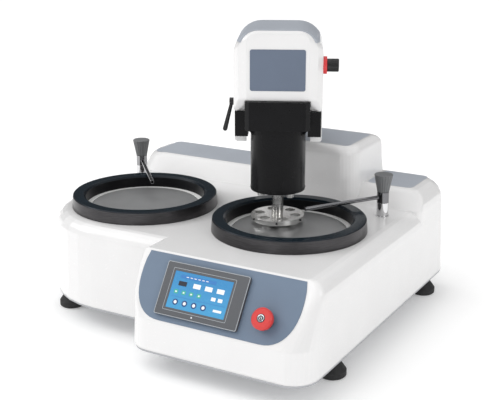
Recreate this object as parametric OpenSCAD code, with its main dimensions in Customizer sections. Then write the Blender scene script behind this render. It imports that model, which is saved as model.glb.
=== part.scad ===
// Bench grinding and polishing machine with two turning discs, a slanted touch screen
// console, a water tap behind each disc and a sample head on a column.
// The origin is the middle of the footprint on the table, +Z is up and the console faces -Y.

/* [Body] */
// Overall width of the body
body_w = 716; // [690:2:780]
// Overall depth of the body at its foot
body_d = 690; // [680:2:740]
// Height of the body's underside above the table
body_lift = 42; // [36:1:60]
// Height of the flat deck above the table
deck_h = 212; // [208:1:232]
// Wall thickness of the moulded shell
shell_wall = 4; // [3:0.5:6]
// Depth of the step between the console and the left part of the front
front_step = 109; // [90:1:120]
// Width of the console part of the body
console_w = 374; // [360:2:390]
// Corner radius of the left part of the front
left_corner_r = 186; // [150:1:188]
// Corner radius of the console
console_corner_r = 50; // [35:1:60]
// Corner radius at the rear
rear_corner_r = 40; // [25:1:60]
// Radius of the deck's rounded edge
deck_edge_r = 30; // [20:1:36]
// Lean of the side walls over the height of the ledge
side_lean = 5; // [3:0.5:8]
// Radius of the console's rounded left edge
console_edge_r = 8; // [4:1:12]

/* [Console] */
// Height of the console's upright foot
console_foot_h = 62; // [56:1:80]
// Lean of the console's foot over its height
console_foot_lean = 6; // [3:0.5:10]
// Angle of the console's face from the upright
console_tilt = 33.6; // [28:0.2:38]
// Thickness of the fascia plate
fascia_t = 1; // [0.8:0.1:2]
// Width of the touch screen's frame
screen_w = 171; // [150:1:180]
// Height of the touch screen's frame
screen_h = 99; // [90:1:104]
// Rise of the touch screen's frame above the fascia
screen_rise = 6; // [4:0.5:10]
// Depth of the touch screen's case behind the fascia
screen_case_d = 38; // [25:1:45]
// Width of the screen glass
glass_w = 121; // [112:1:130]
// Height of the screen glass
glass_h = 68; // [64:1:78]
// Diameter of the stop button's head
stop_d = 39; // [32:1:44]
// Travel of the stop button
stop_travel = 4; // [2:0.5:6]

/* [Rear] */
// Height of the rear ledge above the deck
ledge_rise = 36; // [34:1:50]
// Run of the ledge's sloping front
ledge_run = 42; // [30:1:50]
// Depth of the ledge from its front lip to the rear wall's foot
ledge_d = 126; // [122:1:140]
// Lean of the rear wall over the height of the ledge
rear_lean = 10; // [6:1:14]
// Radius of the ledge's rounded right end
ledge_edge_r = 36; // [24:1:36]
// Radius of the ledge's rounded left end
ledge_left_r = 18; // [12:1:36]
// Height of the tower's top above the ledge
tower_rise = 82; // [70:1:100]
// Width of the tower at its foot
tower_w = 261; // [240:1:280]
// Middle of the tower, to the right of the body's middle
tower_x = 82; // [72:1:92]
// Radius of the tower's rounded top
tower_edge_r = 18; // [12:1:24]
// Corner radius of the tower
tower_corner_r = 38; // [28:1:46]
// Thickness of the grey inlays on the rear ledge and the tower
inlay_t = 1; // [0.8:0.1:1.5]

/* [Discs] */
// Distance between the two disc axes
disc_spacing = 341; // [336:1:352]
// Shift of the pair of discs to the left of the body's middle
disc_shift = 4.5; // [0:0.5:8]
// Distance of the disc axes in front of the body's middle
disc_front = 42; // [36:1:50]
// Diameter of the polishing disc
disc_d = 220; // [200:1:222]
// Thickness of the polishing disc
disc_t = 9.5; // [8:0.5:14]
// Rise of the polishing disc above the deck
disc_rise = 1.5; // [0.5:0.5:4]
// Bore of the splash ring
ring_bore = 248; // [244:1:256]
// Outer diameter of the splash ring at its top
ring_d = 300; // [294:1:306]
// Height of the splash ring above the deck
ring_h = 25; // [18:1:27]
// Flare of the splash ring towards its foot
ring_flare = 2; // [1:0.5:4]

/* [Drive] */
// Diameter of the drive shaft
shaft_d = 25; // [20:1:26]
// Outer diameter of the shaft's ball bearings
bearing_d = 52; // [47:1:52]
// Width of the shaft's ball bearings
bearing_w = 15; // [12:1:16]
// Diameter of the large belt pulley
large_pulley_d = 120; // [100:1:126]
// Ratio of the large to the small belt pulley
drive_ratio = 3; // [2.5:0.1:3.4]
// Width of the belt
belt_w = 9; // [8:0.5:10]
// Thickness of the belt
belt_t = 2.5; // [2:0.1:3]
// Diameter of the drive motor
motor_d = 84; // [70:1:88]
// Height of the drive motor
motor_h = 84; // [70:1:86]
// Thickness of the frame plate that carries the drive
frame_t = 6; // [5:0.5:8]
// Thickness of the base plate
base_t = 4; // [3:0.5:6]
// Outer diameter of the drain pipe
drain_d = 22; // [18:1:24]

/* [Taps] */
// Distance of each tap outboard of its disc axis
tap_out = 126; // [120:1:128]
// Distance of each tap behind its disc axis
tap_back = 166; // [160:1:170]
// Diameter of the tap's post
tap_d = 24; // [22:1:28]
// Height of the tap's post above the deck
tap_h = 51; // [46:1:60]
// Diameter of the tap knob's top
tap_knob_d = 37.5; // [34:0.5:42]
// Height of the tap knob
tap_knob_h = 36; // [30:1:42]
// Reach of the tap's spout from the post's axis
spout_reach = 174; // [150:1:176]
// Outer diameter of the spout's tube
spout_d = 8; // [7:0.5:9]

/* [Head] */
// Distance of the column's axis behind the body's middle
column_y = 226; // [220:1:232]
// Distance of the column's axis to the right of the body's middle
column_x = 7; // [2:1:12]
// Diameter of the column
column_d = 56; // [50:1:60]
// Reach of the arm from the column's axis to the head's axis
arm_reach = 274; // [268:1:280]
// Angle of the arm from straight ahead towards the right
arm_angle = 26.3; // [24:0.1:28]
// Gap between the sample holder and the disc
holder_gap = 8; // [5:0.5:9]
// Diameter of the sample holder
holder_d = 105; // [100:1:106]
// Thickness of the sample holder
holder_t = 9; // [8:0.5:14]
// Diameter of each sample hole
sample_d = 20; // [16:0.5:22]
// Radius of the circle of sample holes
sample_r = 36; // [35:0.5:37]
// Number of sample holes
sample_count = 6; // [3:1:6]
// Angle of the first sample hole from straight ahead
sample_turn = 18; // [0:1:90]
// Open height between the sample holder and the press cylinder
head_daylight = 53; // [50:1:60]
// Diameter of the head's spindle
spindle_d = 23; // [20:1:24]
// Diameter of the press cylinder
cylinder_d = 106.6; // [104:0.2:108]
// Length of the press cylinder
cylinder_l = 194; // [190:1:200]
// Diameter of each press pin
pin_d = 14; // [12:0.5:15]
// Radius of the circle of press pins
pin_r = 33.5; // [32:0.5:34]
// Number of press pins
pin_count = 3; // [3:1:5]
// Angle of the first press pin from straight ahead
pin_turn = 48; // [0:1:90]
// Length of the press pins that shows below the press cylinder
pin_show = 12; // [10:1:16]
// Travel of the press pins
pin_travel = 8; // [4:1:10]
// Height of the head block's underside above the press cylinder's lower end
block_lift = 128; // [124:1:134]
// Height of the head block
block_h = 55; // [50:1:60]
// Width of the head block
block_w = 122; // [120:1:126]
// Width of the head cover
head_w = 168; // [164:1:176]
// Height of the head cover's top above the head block
head_rise = 131.5; // [128:0.5:140]
// Radius of the head cover's upper corners
head_corner_r = 48; // [36:1:52]
// Wall thickness of the head cover
head_wall = 3; // [2.5:0.5:4]
// Width of the head's raised front
face_w = 120; // [114:1:122]
// Upward travel of the press cylinder with its spindle
quill_up = 45; // [20:1:48]

/* [Feet] */
// Diameter of each rubber foot
foot_d = 52; // [44:1:52]
// Height of the foot's straight band
foot_band = 13; // [8:1:16]

/* [Hidden] */
$fn = 96;
// Steps of a rounded corner in the shell's outlines
corner_steps = 8;
// Steps of a rounded edge
edge_steps = 5;
// Overrun of cuts
over = 1;
// Thickness of the leaves that a moulded shape is stretched over
leaf = 0.02;
// Step from one moulded block's wall to the next, where they run into each other
seam = 0.2;
// Running clearance of a fit
fit = 0.05;
// Clearance between pieces that move past each other
play = 0.3;
// Clearance round a piece that passes through a plate
pass = 0.5;

// Heights, from the table up
base_top = body_lift + base_t;
knee_z = body_lift + console_foot_h;
disc_top = deck_h + disc_rise;
disc_z = disc_top - disc_t;
turntable_t = 8;
turntable_z = disc_z - turntable_t;
turntable_gap = 2;
housing_top = turntable_z - turntable_gap;
bowl_lip_drop = 3.5;
bowl_t = 3;
bowl_depth = 46.5;
bowl_top = deck_h - bowl_lip_drop;
bowl_z = bowl_top - bowl_depth;
housing_flange_t = 16;
frame_top = bowl_z - housing_flange_t;
frame_z = frame_top - frame_t;
housing_below = 28;
housing_z = frame_z - housing_below;
pulley_gap = 2;
pulley_rim = 1.5;
pulley_w = belt_w + 2 * pulley_rim;
pulley_top = housing_z - pulley_gap;
pulley_z = pulley_top - pulley_w;
ledge_h = deck_h + ledge_rise;
tower_h = ledge_h + tower_rise;

// Places of the discs, the motors and the taps
disc_xs = [-disc_spacing / 2 - disc_shift, disc_spacing / 2 - disc_shift];
disc_y = -disc_front;
motor_inset = 73;
motor_y = body_d / 2 - motor_inset;
sides = [-1, 1];
tap_y = disc_y + tap_back;

// Front of the console
console_x0 = body_w / 2 - console_w;
knee_y = -body_d / 2 + console_foot_lean;

// Splash ring, bowl and housing
ring_land = 12;
hole_r = ring_d / 2 + ring_flare - ring_land;
bowl_gap = 2.5;
bowl_r = disc_d / 2 + bowl_gap;
weir_wall = 5;
weir_r = bearing_d / 2 + weir_wall;
weir_h = 26;
turntable_r = 60;
housing_flange_r = 58;

// Head chain, from the disc up
holder_z = disc_top + holder_gap;
holder_top = holder_z + holder_t;
cylinder_z = holder_top + head_daylight;
cylinder_top = cylinder_z + cylinder_l;
block_z = cylinder_z + block_lift;
block_top = block_z + block_h;
head_top = block_top + head_rise;
wing_drop = 18.5;
wing_z = block_z - wing_drop;
wing_h = 49;
rim_drop = 16;
rim_z = wing_z - rim_drop;
wing_front = 28;
face_front = 57;
block_front = 66;
cylinder_r = cylinder_d / 2;
guide_play = 0.3;
stub_h = 10;

// Outlines and rounded blocks

function arc_points(cx, cy, r, a0, a1) = [
  for (i = [0:corner_steps])
    let (a = a0 + (a1 - a0) * i / corner_steps)
      [cx + r * cos(a), cy + r * sin(a)]
];

// Corner radii in the order front left, front right, rear right, rear left
function rounded_outline(x0, x1, y0, y1, r) = concat(
  arc_points(x0 + r[0], y0 + r[0], r[0], 180, 270),
  arc_points(x1 - r[1], y0 + r[1], r[1], 270, 360),
  arc_points(x1 - r[2], y1 - r[2], r[2], 0, 90),
  arc_points(x0 + r[3], y1 - r[3], r[3], 90, 180)
);

// How far a rounded top edge of radius r draws in at height z below its top
function edge_in(r, top, z) =
  let (h = max(0, z - (top - r)))
    r - sqrt(max(0, r * r - h * h));

function edge_levels(r, top) = [for (i = [0:edge_steps]) top - r + r * sin(90 * i / edge_steps)];

function rise_share(z) = (z - body_lift) / (ledge_h - body_lift);
function rear_y(z) = body_d / 2 - rear_lean * rise_share(z);
function side_in(z) = side_lean * rise_share(z);

module leaf_at(z, outline) {
  translate([0, 0, z])
    linear_extrude(height = leaf)
      polygon(outline);
}

// The body's moulded blocks, drawn in by e for the inside of the shell

module left_block(e, z0) {
  r = deck_edge_r - e;
  top = deck_h - e;
  hull()
    for (z = concat([z0], edge_levels(r, top))) {
      d = e + edge_in(r, top, z) + side_in(z);
      leaf_at(max(z0, z - leaf), rounded_outline(
        -body_w / 2 + d, body_w / 2 - left_corner_r, -body_d / 2 + front_step + d,
        rear_y(z) - e, [left_corner_r - d, left_corner_r, rear_corner_r, rear_corner_r]));
    }
}

// Front of the console at height z: upright foot below the knee, slanted face above it
function console_y(z) = z < knee_z
  ? -body_d / 2 + console_foot_lean * (z - body_lift) / console_foot_h
  : knee_y + (z - knee_z) * tan(console_tilt);

// The console's left corner, cut off where the slanted face has drawn back past it
function cut_corner(x, cy, r, yf) =
  let (s = min(1, max(0, (cy - yf) / r)), a_end = asin(s))
    [for (i = [0:corner_steps])
      let (a = a_end * i / corner_steps)
        [x + r * (1 - cos(a)), s > 0 ? cy - r * sin(a) : yf]];

function reversed(points) = [for (i = [len(points) - 1:-1:0]) points[i]];

// Radius of the console's right corner, which tapers off up the slanted face
function right_corner(z) = z < knee_z ? console_corner_r
  : console_corner_r - (console_corner_r - console_edge_r) * (z - knee_z) / (deck_h - knee_z);

module console_block(e, z0) {
  top = deck_h - e;
  r = console_corner_r - e;
  left_r = console_edge_r - e / 2;
  edge_r = deck_edge_r - e;
  slope_e = e / cos(console_tilt);
  levels = concat([z0, knee_z, (knee_z + top - edge_r) / 2], edge_levels(edge_r, top),
    [top - left_r / 2]);
  hull()
    for (z = levels) {
      yf = console_y(z) + (z < knee_z ? e : slope_e);
      cy = z < knee_z ? yf + r : knee_y + slope_e + r;
      x0 = console_x0 + e + edge_in(left_r, top, z);
      x1 = body_w / 2 - e - side_in(z) - edge_in(edge_r, top, z);
      right_r = right_corner(z) - e;
      leaf_at(max(z0, z - leaf), concat(
        cut_corner(x0, cy, r, yf),
        arc_points(x1 - right_r, yf + right_r, right_r, 270, 360),
        arc_points(x1 - rear_corner_r, rear_y(z) - e - seam - rear_corner_r,
          rear_corner_r, 0, 90),
        [[x0, rear_y(z) - e - seam]]));
    }
}

module ledge_block(e) {
  top = ledge_h - e;
  r = ledge_edge_r - e;
  lip_r = 6;
  foot_y = body_d / 2 - ledge_d - ledge_run;
  hull()
    for (z = concat([deck_h - deck_edge_r - e], edge_levels(r, top))) {
      left = e + seam + edge_in(ledge_left_r - e, top, z) + side_in(z);
      right = e + seam + edge_in(r, top, z) + side_in(z);
      yf = foot_y + e + max(0, z - deck_h + e) * (ledge_run - lip_r) / ledge_rise
        + edge_in(lip_r, top, z);
      leaf_at(z - leaf, rounded_outline(
        -body_w / 2 + left, body_w / 2 - right, yf,
        rear_y(z) - e - 2 * seam - edge_in(lip_r, top, z),
        [ledge_corner_r, lip_r * 2, rear_corner_r, rear_corner_r]));
    }
}
ledge_corner_r = 48;

tower_taper = 9;
tower_rear_r = 16;
tower_foot_y = 160;
tower_lean = 9;

module tower_block(e) {
  top = tower_h - e;
  r = tower_edge_r - e;
  hull()
    for (z = concat([deck_h - deck_edge_r / 2], edge_levels(r, top))) {
      up = max(0, z - deck_h) / (tower_h - deck_h);
      d = e + edge_in(r, top, z);
      half = tower_w / 2 - tower_taper * up - d;
      leaf_at(z - leaf, rounded_outline(
        tower_x - half, tower_x + half, tower_foot_y + tower_lean * up + d,
        rear_y(z) - e - 3 * seam - edge_in(r, top, z),
        [tower_corner_r, tower_corner_r, tower_rear_r, tower_rear_r]));
    }
}

module body_blocks(e, z0) {
  left_block(e, z0);
  console_block(e, z0);
  ledge_block(e);
  tower_block(e);
}

// Face of the console: x along the body, y up the slope, z out of the face
module on_console() {
  translate([0, knee_y, knee_z])
    rotate([90 - console_tilt, 0, 0])
      children();
}

screen_x = 132.5;
screen_v = 63.5;
glass_shift = 4.5;
glass_x = screen_x - glass_shift;
screen_hole_in = 7;
stop_x = 265.5;
stop_v = 45;
stop_stem_r = 8;
stop_collar_r = 15;

// Recess for the service panel in the rear wall
niche_w = 430;
niche_x = 80;
niche_h = 88;
niche_depth = 32;
niche_y = body_d / 2 - niche_depth;
panel_t = 2;
panel_w = 410;
panel_h = 82;
panel_lift = 4;
panel_z = base_top + panel_lift;
panel_frame = 6;
panel_y = niche_y + panel_t;

module niche_space() {
  translate([niche_x - niche_w / 2, niche_y, base_top - over])
    cube([niche_w, body_d, niche_h + over]);
}

// Block round the niche, which ends in the middle of the leaning rear wall
module niche_block() {
  top = base_top + niche_h + shell_wall;
  y0 = niche_y - shell_wall;
  translate([niche_x - niche_w / 2 - shell_wall, 0, 0])
    rotate([90, 0, 90])
      linear_extrude(height = niche_w + 2 * shell_wall)
        polygon([
          [y0, base_top],
          [rear_y(base_top) - shell_wall / 2, base_top],
          [rear_y(top) - shell_wall / 2, top],
          [y0, top]
        ]);
}

tap_shank_r = 8;
tap_nut_t = 8;
tap_nut_r = 14;
tap_xs = [disc_xs[0] - tap_out, disc_xs[1] + tap_out];

module body_cover() {
  color("whitesmoke")
    difference() {
      union() {
        difference() {
          body_blocks(0, base_top);
          body_blocks(shell_wall, base_top - over);
        }
        niche_block();
      }
      niche_space();
      // Window behind the service panel
      translate([niche_x - panel_w / 2 + panel_frame, niche_y - 2 * shell_wall,
        panel_z + panel_frame])
        cube([panel_w - 2 * panel_frame, 3 * shell_wall, panel_h - 2 * panel_frame]);
      for (x = disc_xs)
        translate([x, disc_y, bowl_z])
          cylinder(r = hole_r, h = bowl_depth + ledge_rise / 2);
      for (x = tap_xs)
        translate([x, tap_y, deck_h - deck_edge_r])
          cylinder(r = tap_shank_r + pass, h = deck_edge_r + over);
      on_console() {
        translate([screen_x - screen_w / 2 + screen_hole_in,
          screen_v - screen_h / 2 + screen_hole_in, -2 * shell_wall])
          cube([screen_w - 2 * screen_hole_in, screen_h - 2 * screen_hole_in,
            3 * shell_wall]);
        translate([stop_x, stop_v, -2 * shell_wall])
          cylinder(r = stop_collar_r - 2 * fascia_t, h = 3 * shell_wall);
      }
      translate([column_x, column_y, ledge_h])
        cylinder(d = column_d + 2 * pass, h = tower_rise + over);
      // Beds of the grey inlays
      translate([0, 0, ledge_h - inlay_t])
        ledge_inlay_shape(inlay_t + over);
      translate([0, 0, tower_h - inlay_t])
        tower_inlay_shape(inlay_t + over);
    }
}

// Grey inlays in the tops of the ledge and the tower

inlay_in = 7;
inlay_r = 14;

module rounded_plate(x0, x1, y0, y1, r, h) {
  linear_extrude(height = h)
    union() {
      translate([x0 + r, y0])
        square([x1 - x0 - 2 * r, y1 - y0]);
      translate([x0, y0 + r])
        square([x1 - x0, y1 - y0 - 2 * r]);
      for (x = [x0 + r, x1 - r], y = [y0 + r, y1 - r])
        translate([x, y])
          circle(r = r);
    }
}

module ledge_inlay_shape(h) {
  y0 = body_d / 2 - ledge_d + 2 * inlay_t;
  y1 = rear_y(ledge_h) - inlay_in;
  rounded_plate(-body_w / 2 + side_lean + ledge_left_r + inlay_t,
    tower_x - tower_w / 2 - over,
    y0, y1, inlay_r, h);
  rounded_plate(tower_x + tower_w / 2 + over, body_w / 2 - ledge_edge_r - inlay_in,
    y0, y1, inlay_r, h);
}

module tower_inlay_shape(h) {
  half = tower_w / 2 - tower_taper - tower_edge_r - inlay_t;
  difference() {
    rounded_plate(tower_x - half, tower_x + half,
      tower_foot_y + tower_lean + tower_edge_r + inlay_t,
      rear_y(tower_h) - tower_edge_r - inlay_t, inlay_r, h);
    translate([column_x, column_y, -over])
      cylinder(r = column_foot_ring_r + pass, h = h + 2 * over);
  }
}

module top_inlays() {
  color("slategray") {
    translate([0, 0, ledge_h - inlay_t])
      ledge_inlay_shape(inlay_t);
    translate([0, 0, tower_h - inlay_t])
      tower_inlay_shape(inlay_t);
  }
}

// Base plate and frame

stud_r = 5;
foot_in = 27;
foot_rear_in = 68;
foot_front_in = 162;
foot_left_in = [69, 187];
feet = [
  [-body_w / 2 + foot_left_in[0], -body_d / 2 + foot_left_in[1]],
  [body_w / 2 - foot_in, -body_d / 2 + foot_front_in],
  [body_w / 2 - foot_in, body_d / 2 - foot_rear_in],
  [-body_w / 2 + foot_in, body_d / 2 - foot_rear_in]
];
plate_in = 1;

module base_plate() {
  color("silver")
    translate([0, 0, body_lift])
      difference() {
        linear_extrude(height = base_t)
          union() {
            polygon(rounded_outline(-body_w / 2 + plate_in, 0,
              -body_d / 2 + front_step + plate_in, body_d / 2 - plate_in,
              [left_corner_r - plate_in, 2 * plate_in, 2 * plate_in,
                rear_corner_r]));
            polygon(rounded_outline(console_x0 + plate_in,
              body_w / 2 - plate_in, -body_d / 2 + plate_in,
              body_d / 2 - plate_in,
              [console_corner_r, console_corner_r, rear_corner_r,
                2 * plate_in]));
          }
        for (p = feet)
          translate([p[0], p[1], -over])
            cylinder(r = stud_r + pass / 2, h = base_t + 2 * over);
      }
}

leg_r = 12;
frame_in = [46, 102, 54, 27];
frame_x0 = -body_w / 2 + frame_in[0];
frame_y0 = -body_d / 2 + front_step + frame_in[1];
frame_x1 = body_w / 2 - frame_in[2];
frame_y1 = body_d / 2 - frame_in[3];
leg_in = 22;
leg_rear_in = 28;
legs = [
  [frame_x0 + leg_in, frame_y0 + leg_in],
  [(frame_x0 + frame_x1) / 2, frame_y0 + leg_in],
  [frame_x1 - leg_in, frame_y0 + leg_in],
  [frame_x1 - leg_in, frame_y1 - leg_rear_in],
  [column_x, column_y],
  [frame_x0 + leg_in, frame_y1 - leg_rear_in]
];
housing_below_wall = 8;
housing_below_r = bearing_d / 2 + housing_below_wall;
drain_out = 78;
drain_flange_r = 16;
motor_shaft_r = 7;

module support_frame() {
  color("gray")
    difference() {
      union() {
        translate([frame_x0, frame_y0, frame_z])
          cube([frame_x1 - frame_x0, frame_y1 - frame_y0, frame_t]);
        for (p = legs)
          translate([p[0], p[1], base_top])
            cylinder(r = leg_r, h = frame_z - base_top + over);
      }
      translate([water_x, tube_drop_y, frame_z - over])
        cylinder(r = tube_r + pass, h = frame_t + 2 * over);
      for (x = disc_xs) {
        translate([x, disc_y, frame_z - over])
          cylinder(r = housing_below_r + pass, h = frame_t + 2 * over);
        translate([x + drain_out, disc_y, frame_z - over])
          cylinder(d = drain_d + 2 * pass, h = frame_t + 2 * over);
        translate([x, motor_y, frame_z - over])
          cylinder(r = 3 * motor_shaft_r, h = frame_t + 2 * over);
      }
    }
}

// Console pieces

fascia_x = 160;
fascia_w = 331;
fascia_v0 = 3.5;
fascia_top_in = 4;
fascia_v1 = (deck_h - knee_z) / cos(console_tilt) - fascia_top_in;
// The ends bow out by this much, most at the middle height, and close in at the bottom
fascia_bow = 63;
fascia_mid = 86;
fascia_fullness = 2.3;
fascia_steps = 14;

// Bow of the fascia's ends at v up the slope
function bow_at(v) =
  let (share = min(1, abs(fascia_mid - v) / (fascia_mid - fascia_v0)))
    fascia_bow * (pow(1 - pow(share, fascia_fullness), 1 / fascia_fullness));

// Heights along the ends, closer together towards the bottom corners
fascia_vs = [
  for (i = [0:fascia_steps])
    fascia_v0 + (fascia_v1 - fascia_v0) * pow(i / fascia_steps, 2)
];

module fascia_plate() {
  color("lightsteelblue")
    on_console()
      difference() {
        translate([0, 0, fit])
          linear_extrude(height = fascia_t - fit)
            polygon(concat(
              [for (v = fascia_vs)
                [fascia_x + fascia_w / 2 - fascia_bow + bow_at(v), v]],
              [for (v = reversed(fascia_vs))
                [fascia_x - fascia_w / 2 + fascia_bow - bow_at(v), v]]));
        translate([screen_x - screen_w / 2 + screen_hole_in,
          screen_v - screen_h / 2 + screen_hole_in, -over])
          cube([screen_w - 2 * screen_hole_in, screen_h - 2 * screen_hole_in,
            fascia_t + 2 * over]);
        translate([stop_x, stop_v, -over])
          cylinder(r = stop_collar_r - 2 * fascia_t, h = fascia_t + 2 * over);
      }
}

screen_case_in = 9;
glass_pocket = 1.5;
glass_t = 1.2;
bezel_r = 4;

module screen_housing() {
  color("dimgray")
    on_console()
      difference() {
        union() {
          translate([0, 0, fascia_t])
            rounded_plate(screen_x - screen_w / 2, screen_x + screen_w / 2,
              screen_v - screen_h / 2, screen_v + screen_h / 2, bezel_r,
              screen_rise);
          translate([screen_x - screen_w / 2 + screen_case_in,
            screen_v - screen_h / 2 + screen_case_in, -screen_case_d])
            cube([screen_w - 2 * screen_case_in, screen_h - 2 * screen_case_in,
              screen_case_d + 2 * fascia_t]);
        }
        translate([glass_x - glass_w / 2, screen_v - glass_h / 2,
          fascia_t + screen_rise - glass_pocket])
          cube([glass_w, glass_h, glass_pocket + over]);
      }
}

module screen_glass() {
  color("deepskyblue")
    on_console()
      translate([glass_x - glass_w / 2 + fit, screen_v - glass_h / 2 + fit,
        fascia_t + screen_rise - glass_pocket])
        cube([glass_w - 2 * fit, glass_h - 2 * fit, glass_t]);
}

stop_collar_h = 4;
stop_neck = 1;
stop_head_h = 13;
stop_case_w = 30;
stop_case_d = 34;
stop_stem_in = 6;

// Threaded collar through the wall with its nut behind
module stop_collar() {
  color("gray")
    on_console()
      translate([stop_x, stop_v, 0])
        difference() {
          union() {
            translate([0, 0, fascia_t])
              cylinder(r = stop_collar_r, h = stop_collar_h);
            translate([0, 0, -shell_wall - stop_stem_in])
              cylinder(r = stop_collar_r - 2 * fascia_t - pass / 2,
                h = shell_wall + stop_stem_in + fascia_t + over);
            translate([0, 0, -shell_wall - stop_stem_in / 2])
              cylinder(r = stop_collar_r + stop_stem_in / 2, h = stop_stem_in / 2);
          }
          translate([0, 0, -shell_wall - stop_stem_in - over])
            cylinder(r = stop_stem_r + play, h = 2 * stop_case_d);
        }
}

module stop_button() {
  color("red")
    on_console()
      translate([stop_x, stop_v, fascia_t + stop_collar_h + stop_travel + stop_neck])
        union() {
          cylinder(d1 = stop_d - 2 * stop_neck, d2 = stop_d, h = stop_head_h / 4);
          translate([0, 0, stop_head_h / 4])
            cylinder(d = stop_d, h = stop_head_h / 2);
          translate([0, 0, stop_head_h * 3 / 4])
            cylinder(d1 = stop_d, d2 = stop_d - 2 * stop_head_h / 4,
              h = stop_head_h / 4);
          translate([0, 0, -stop_travel - stop_neck - stop_collar_h - shell_wall])
            cylinder(r = stop_stem_r,
              h = stop_travel + stop_neck + stop_collar_h + shell_wall);
        }
}

module stop_contacts() {
  color("darkgreen")
    on_console()
      translate([stop_x - stop_case_w / 2, stop_v - stop_case_w / 2,
        -shell_wall - stop_stem_in - stop_case_d])
        cube([stop_case_w, stop_case_w, stop_case_d]);
}

// Splash rings, bowls and discs

ring_edge = 1.5;
ring_inner_edge = 4;
ring_spigot_gap = 0.7;

module splash_ring(x) {
  color([0.16, 0.2, 0.24])
    translate([x, disc_y, 0])
      rotate_extrude()
        polygon([
          [ring_bore / 2, bowl_top],
          [hole_r - ring_spigot_gap, bowl_top],
          [hole_r - ring_spigot_gap, deck_h],
          [ring_d / 2 + ring_flare, deck_h],
          [ring_d / 2 + ring_flare, deck_h + ring_edge],
          [ring_d / 2, deck_h + ring_h - ring_edge],
          [ring_d / 2 - ring_edge, deck_h + ring_h],
          [ring_bore / 2 + ring_inner_edge, deck_h + ring_h],
          [ring_bore / 2, deck_h + ring_h - ring_inner_edge]
        ]);
}

// Drip bowl with a weir round the bearing housing and a drain hole in its floor
module drip_bowl(x) {
  lip_r = hole_r - ring_spigot_gap;
  color("white")
    translate([x, disc_y, 0])
      difference() {
        rotate_extrude()
          polygon([
            [weir_r + pass, bowl_z],
            [bowl_r + bowl_t, bowl_z],
            [bowl_r + bowl_t, bowl_top - bowl_t],
            [lip_r, bowl_top - bowl_t],
            [lip_r, bowl_top],
            [bowl_r, bowl_top],
            [bowl_r, bowl_z + bowl_t],
            [weir_r + pass + bowl_t, bowl_z + bowl_t],
            [weir_r + pass + bowl_t, bowl_z + weir_h],
            [weir_r + pass, bowl_z + weir_h]
          ]);
        translate([drain_out, 0, bowl_z - over])
          cylinder(r = drain_bore_r, h = bowl_t + 2 * over);
      }
}

drive_pin_r = 4;
drive_pin_h = 5;
drive_pin_ring = 44;
drive_pin_count = 3;

module polishing_disc(x) {
  color("darkgray")
    translate([x, disc_y, disc_z])
      difference() {
        cylinder(d = disc_d, h = disc_t);
        for (i = [1:drive_pin_count])
          rotate([0, 0, 360 * i / drive_pin_count])
            translate([drive_pin_ring, 0, -over])
              cylinder(r = drive_pin_r + fit, h = drive_pin_h + over + fit);
      }
}

skirt_gap = 3.5;
skirt_t = 3;
skirt_h = 12;

module turntable(x) {
  skirt_r = weir_r + pass + bowl_t + skirt_gap;
  color("lightgray")
    translate([x, disc_y, turntable_z])
      difference() {
        union() {
          cylinder(r = turntable_r, h = turntable_t);
          for (i = [1:drive_pin_count])
            rotate([0, 0, 360 * i / drive_pin_count])
              translate([drive_pin_ring, 0, turntable_t - over])
                cylinder(r = drive_pin_r, h = drive_pin_h + over);
          translate([0, 0, -skirt_h])
            difference() {
              cylinder(r = skirt_r + skirt_t, h = skirt_h + over);
              translate([0, 0, -over])
                cylinder(r = skirt_r, h = skirt_h + 2 * over);
            }
        }
        translate([0, 0, -over])
          cylinder(d = shaft_d, h = turntable_t + 2 * over);
      }
}

shaft_collar_t = 3;
shaft_collar_r = shaft_d / 2 + shaft_collar_t;

module drive_shaft(x) {
  color("silver")
    translate([x, disc_y, 0])
      union() {
        translate([0, 0, pulley_z])
          cylinder(d = shaft_d, h = disc_z - pulley_z);
        translate([0, 0, housing_top + play])
          cylinder(r = shaft_collar_r, h = turntable_gap - play);
      }
}

module shaft_bearings(x) {
  color("lightgray")
    for (z = [housing_z, housing_top - bearing_w])
      translate([x, disc_y, z])
        difference() {
          cylinder(d = bearing_d, h = bearing_w);
          translate([0, 0, -over])
            cylinder(d = shaft_d + 2 * fit, h = bearing_w + 2 * over);
        }
}

housing_bore_gap = 4;

module bearing_housing(x) {
  web_r = shaft_d / 2 + housing_bore_gap;
  color("dimgray")
    translate([x, disc_y, 0])
      difference() {
        union() {
          translate([0, 0, frame_top])
            cylinder(r = housing_flange_r, h = housing_flange_t);
          translate([0, 0, housing_z])
            cylinder(r = housing_below_r, h = frame_top - housing_z + over);
          translate([0, 0, frame_top])
            cylinder(r = weir_r, h = housing_top - frame_top);
        }
        translate([0, 0, housing_z - over])
          cylinder(r = web_r, h = housing_top - housing_z + 2 * over);
        translate([0, 0, housing_z - over])
          cylinder(d = bearing_d, h = bearing_w + over);
        translate([0, 0, housing_top - bearing_w])
          cylinder(d = bearing_d, h = bearing_w + over);
      }
}

// Belt drive

flange_rise = 3;

module belt_pulley(r, bore) {
  difference() {
    rotate_extrude()
      polygon([
        [0, 0],
        [r + flange_rise, 0],
        [r + flange_rise, pulley_rim - play],
        [r, pulley_rim - play],
        [r, pulley_w - pulley_rim + play],
        [r + flange_rise, pulley_w - pulley_rim + play],
        [r + flange_rise, pulley_w],
        [0, pulley_w]
      ]);
    translate([0, 0, -over])
      cylinder(r = bore, h = pulley_w + 2 * over);
  }
}

small_pulley_r = large_pulley_d / 2 / drive_ratio;

module large_pulley(x) {
  color("dimgray")
    translate([x, disc_y, pulley_z])
      belt_pulley(large_pulley_d / 2, shaft_d / 2);
}

module small_pulley(x) {
  color("dimgray")
    translate([x, motor_y, pulley_z])
      union() {
        belt_pulley(small_pulley_r, motor_shaft_r);
        cylinder(r = motor_shaft_r, h = frame_z - pulley_z);
      }
}

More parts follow.
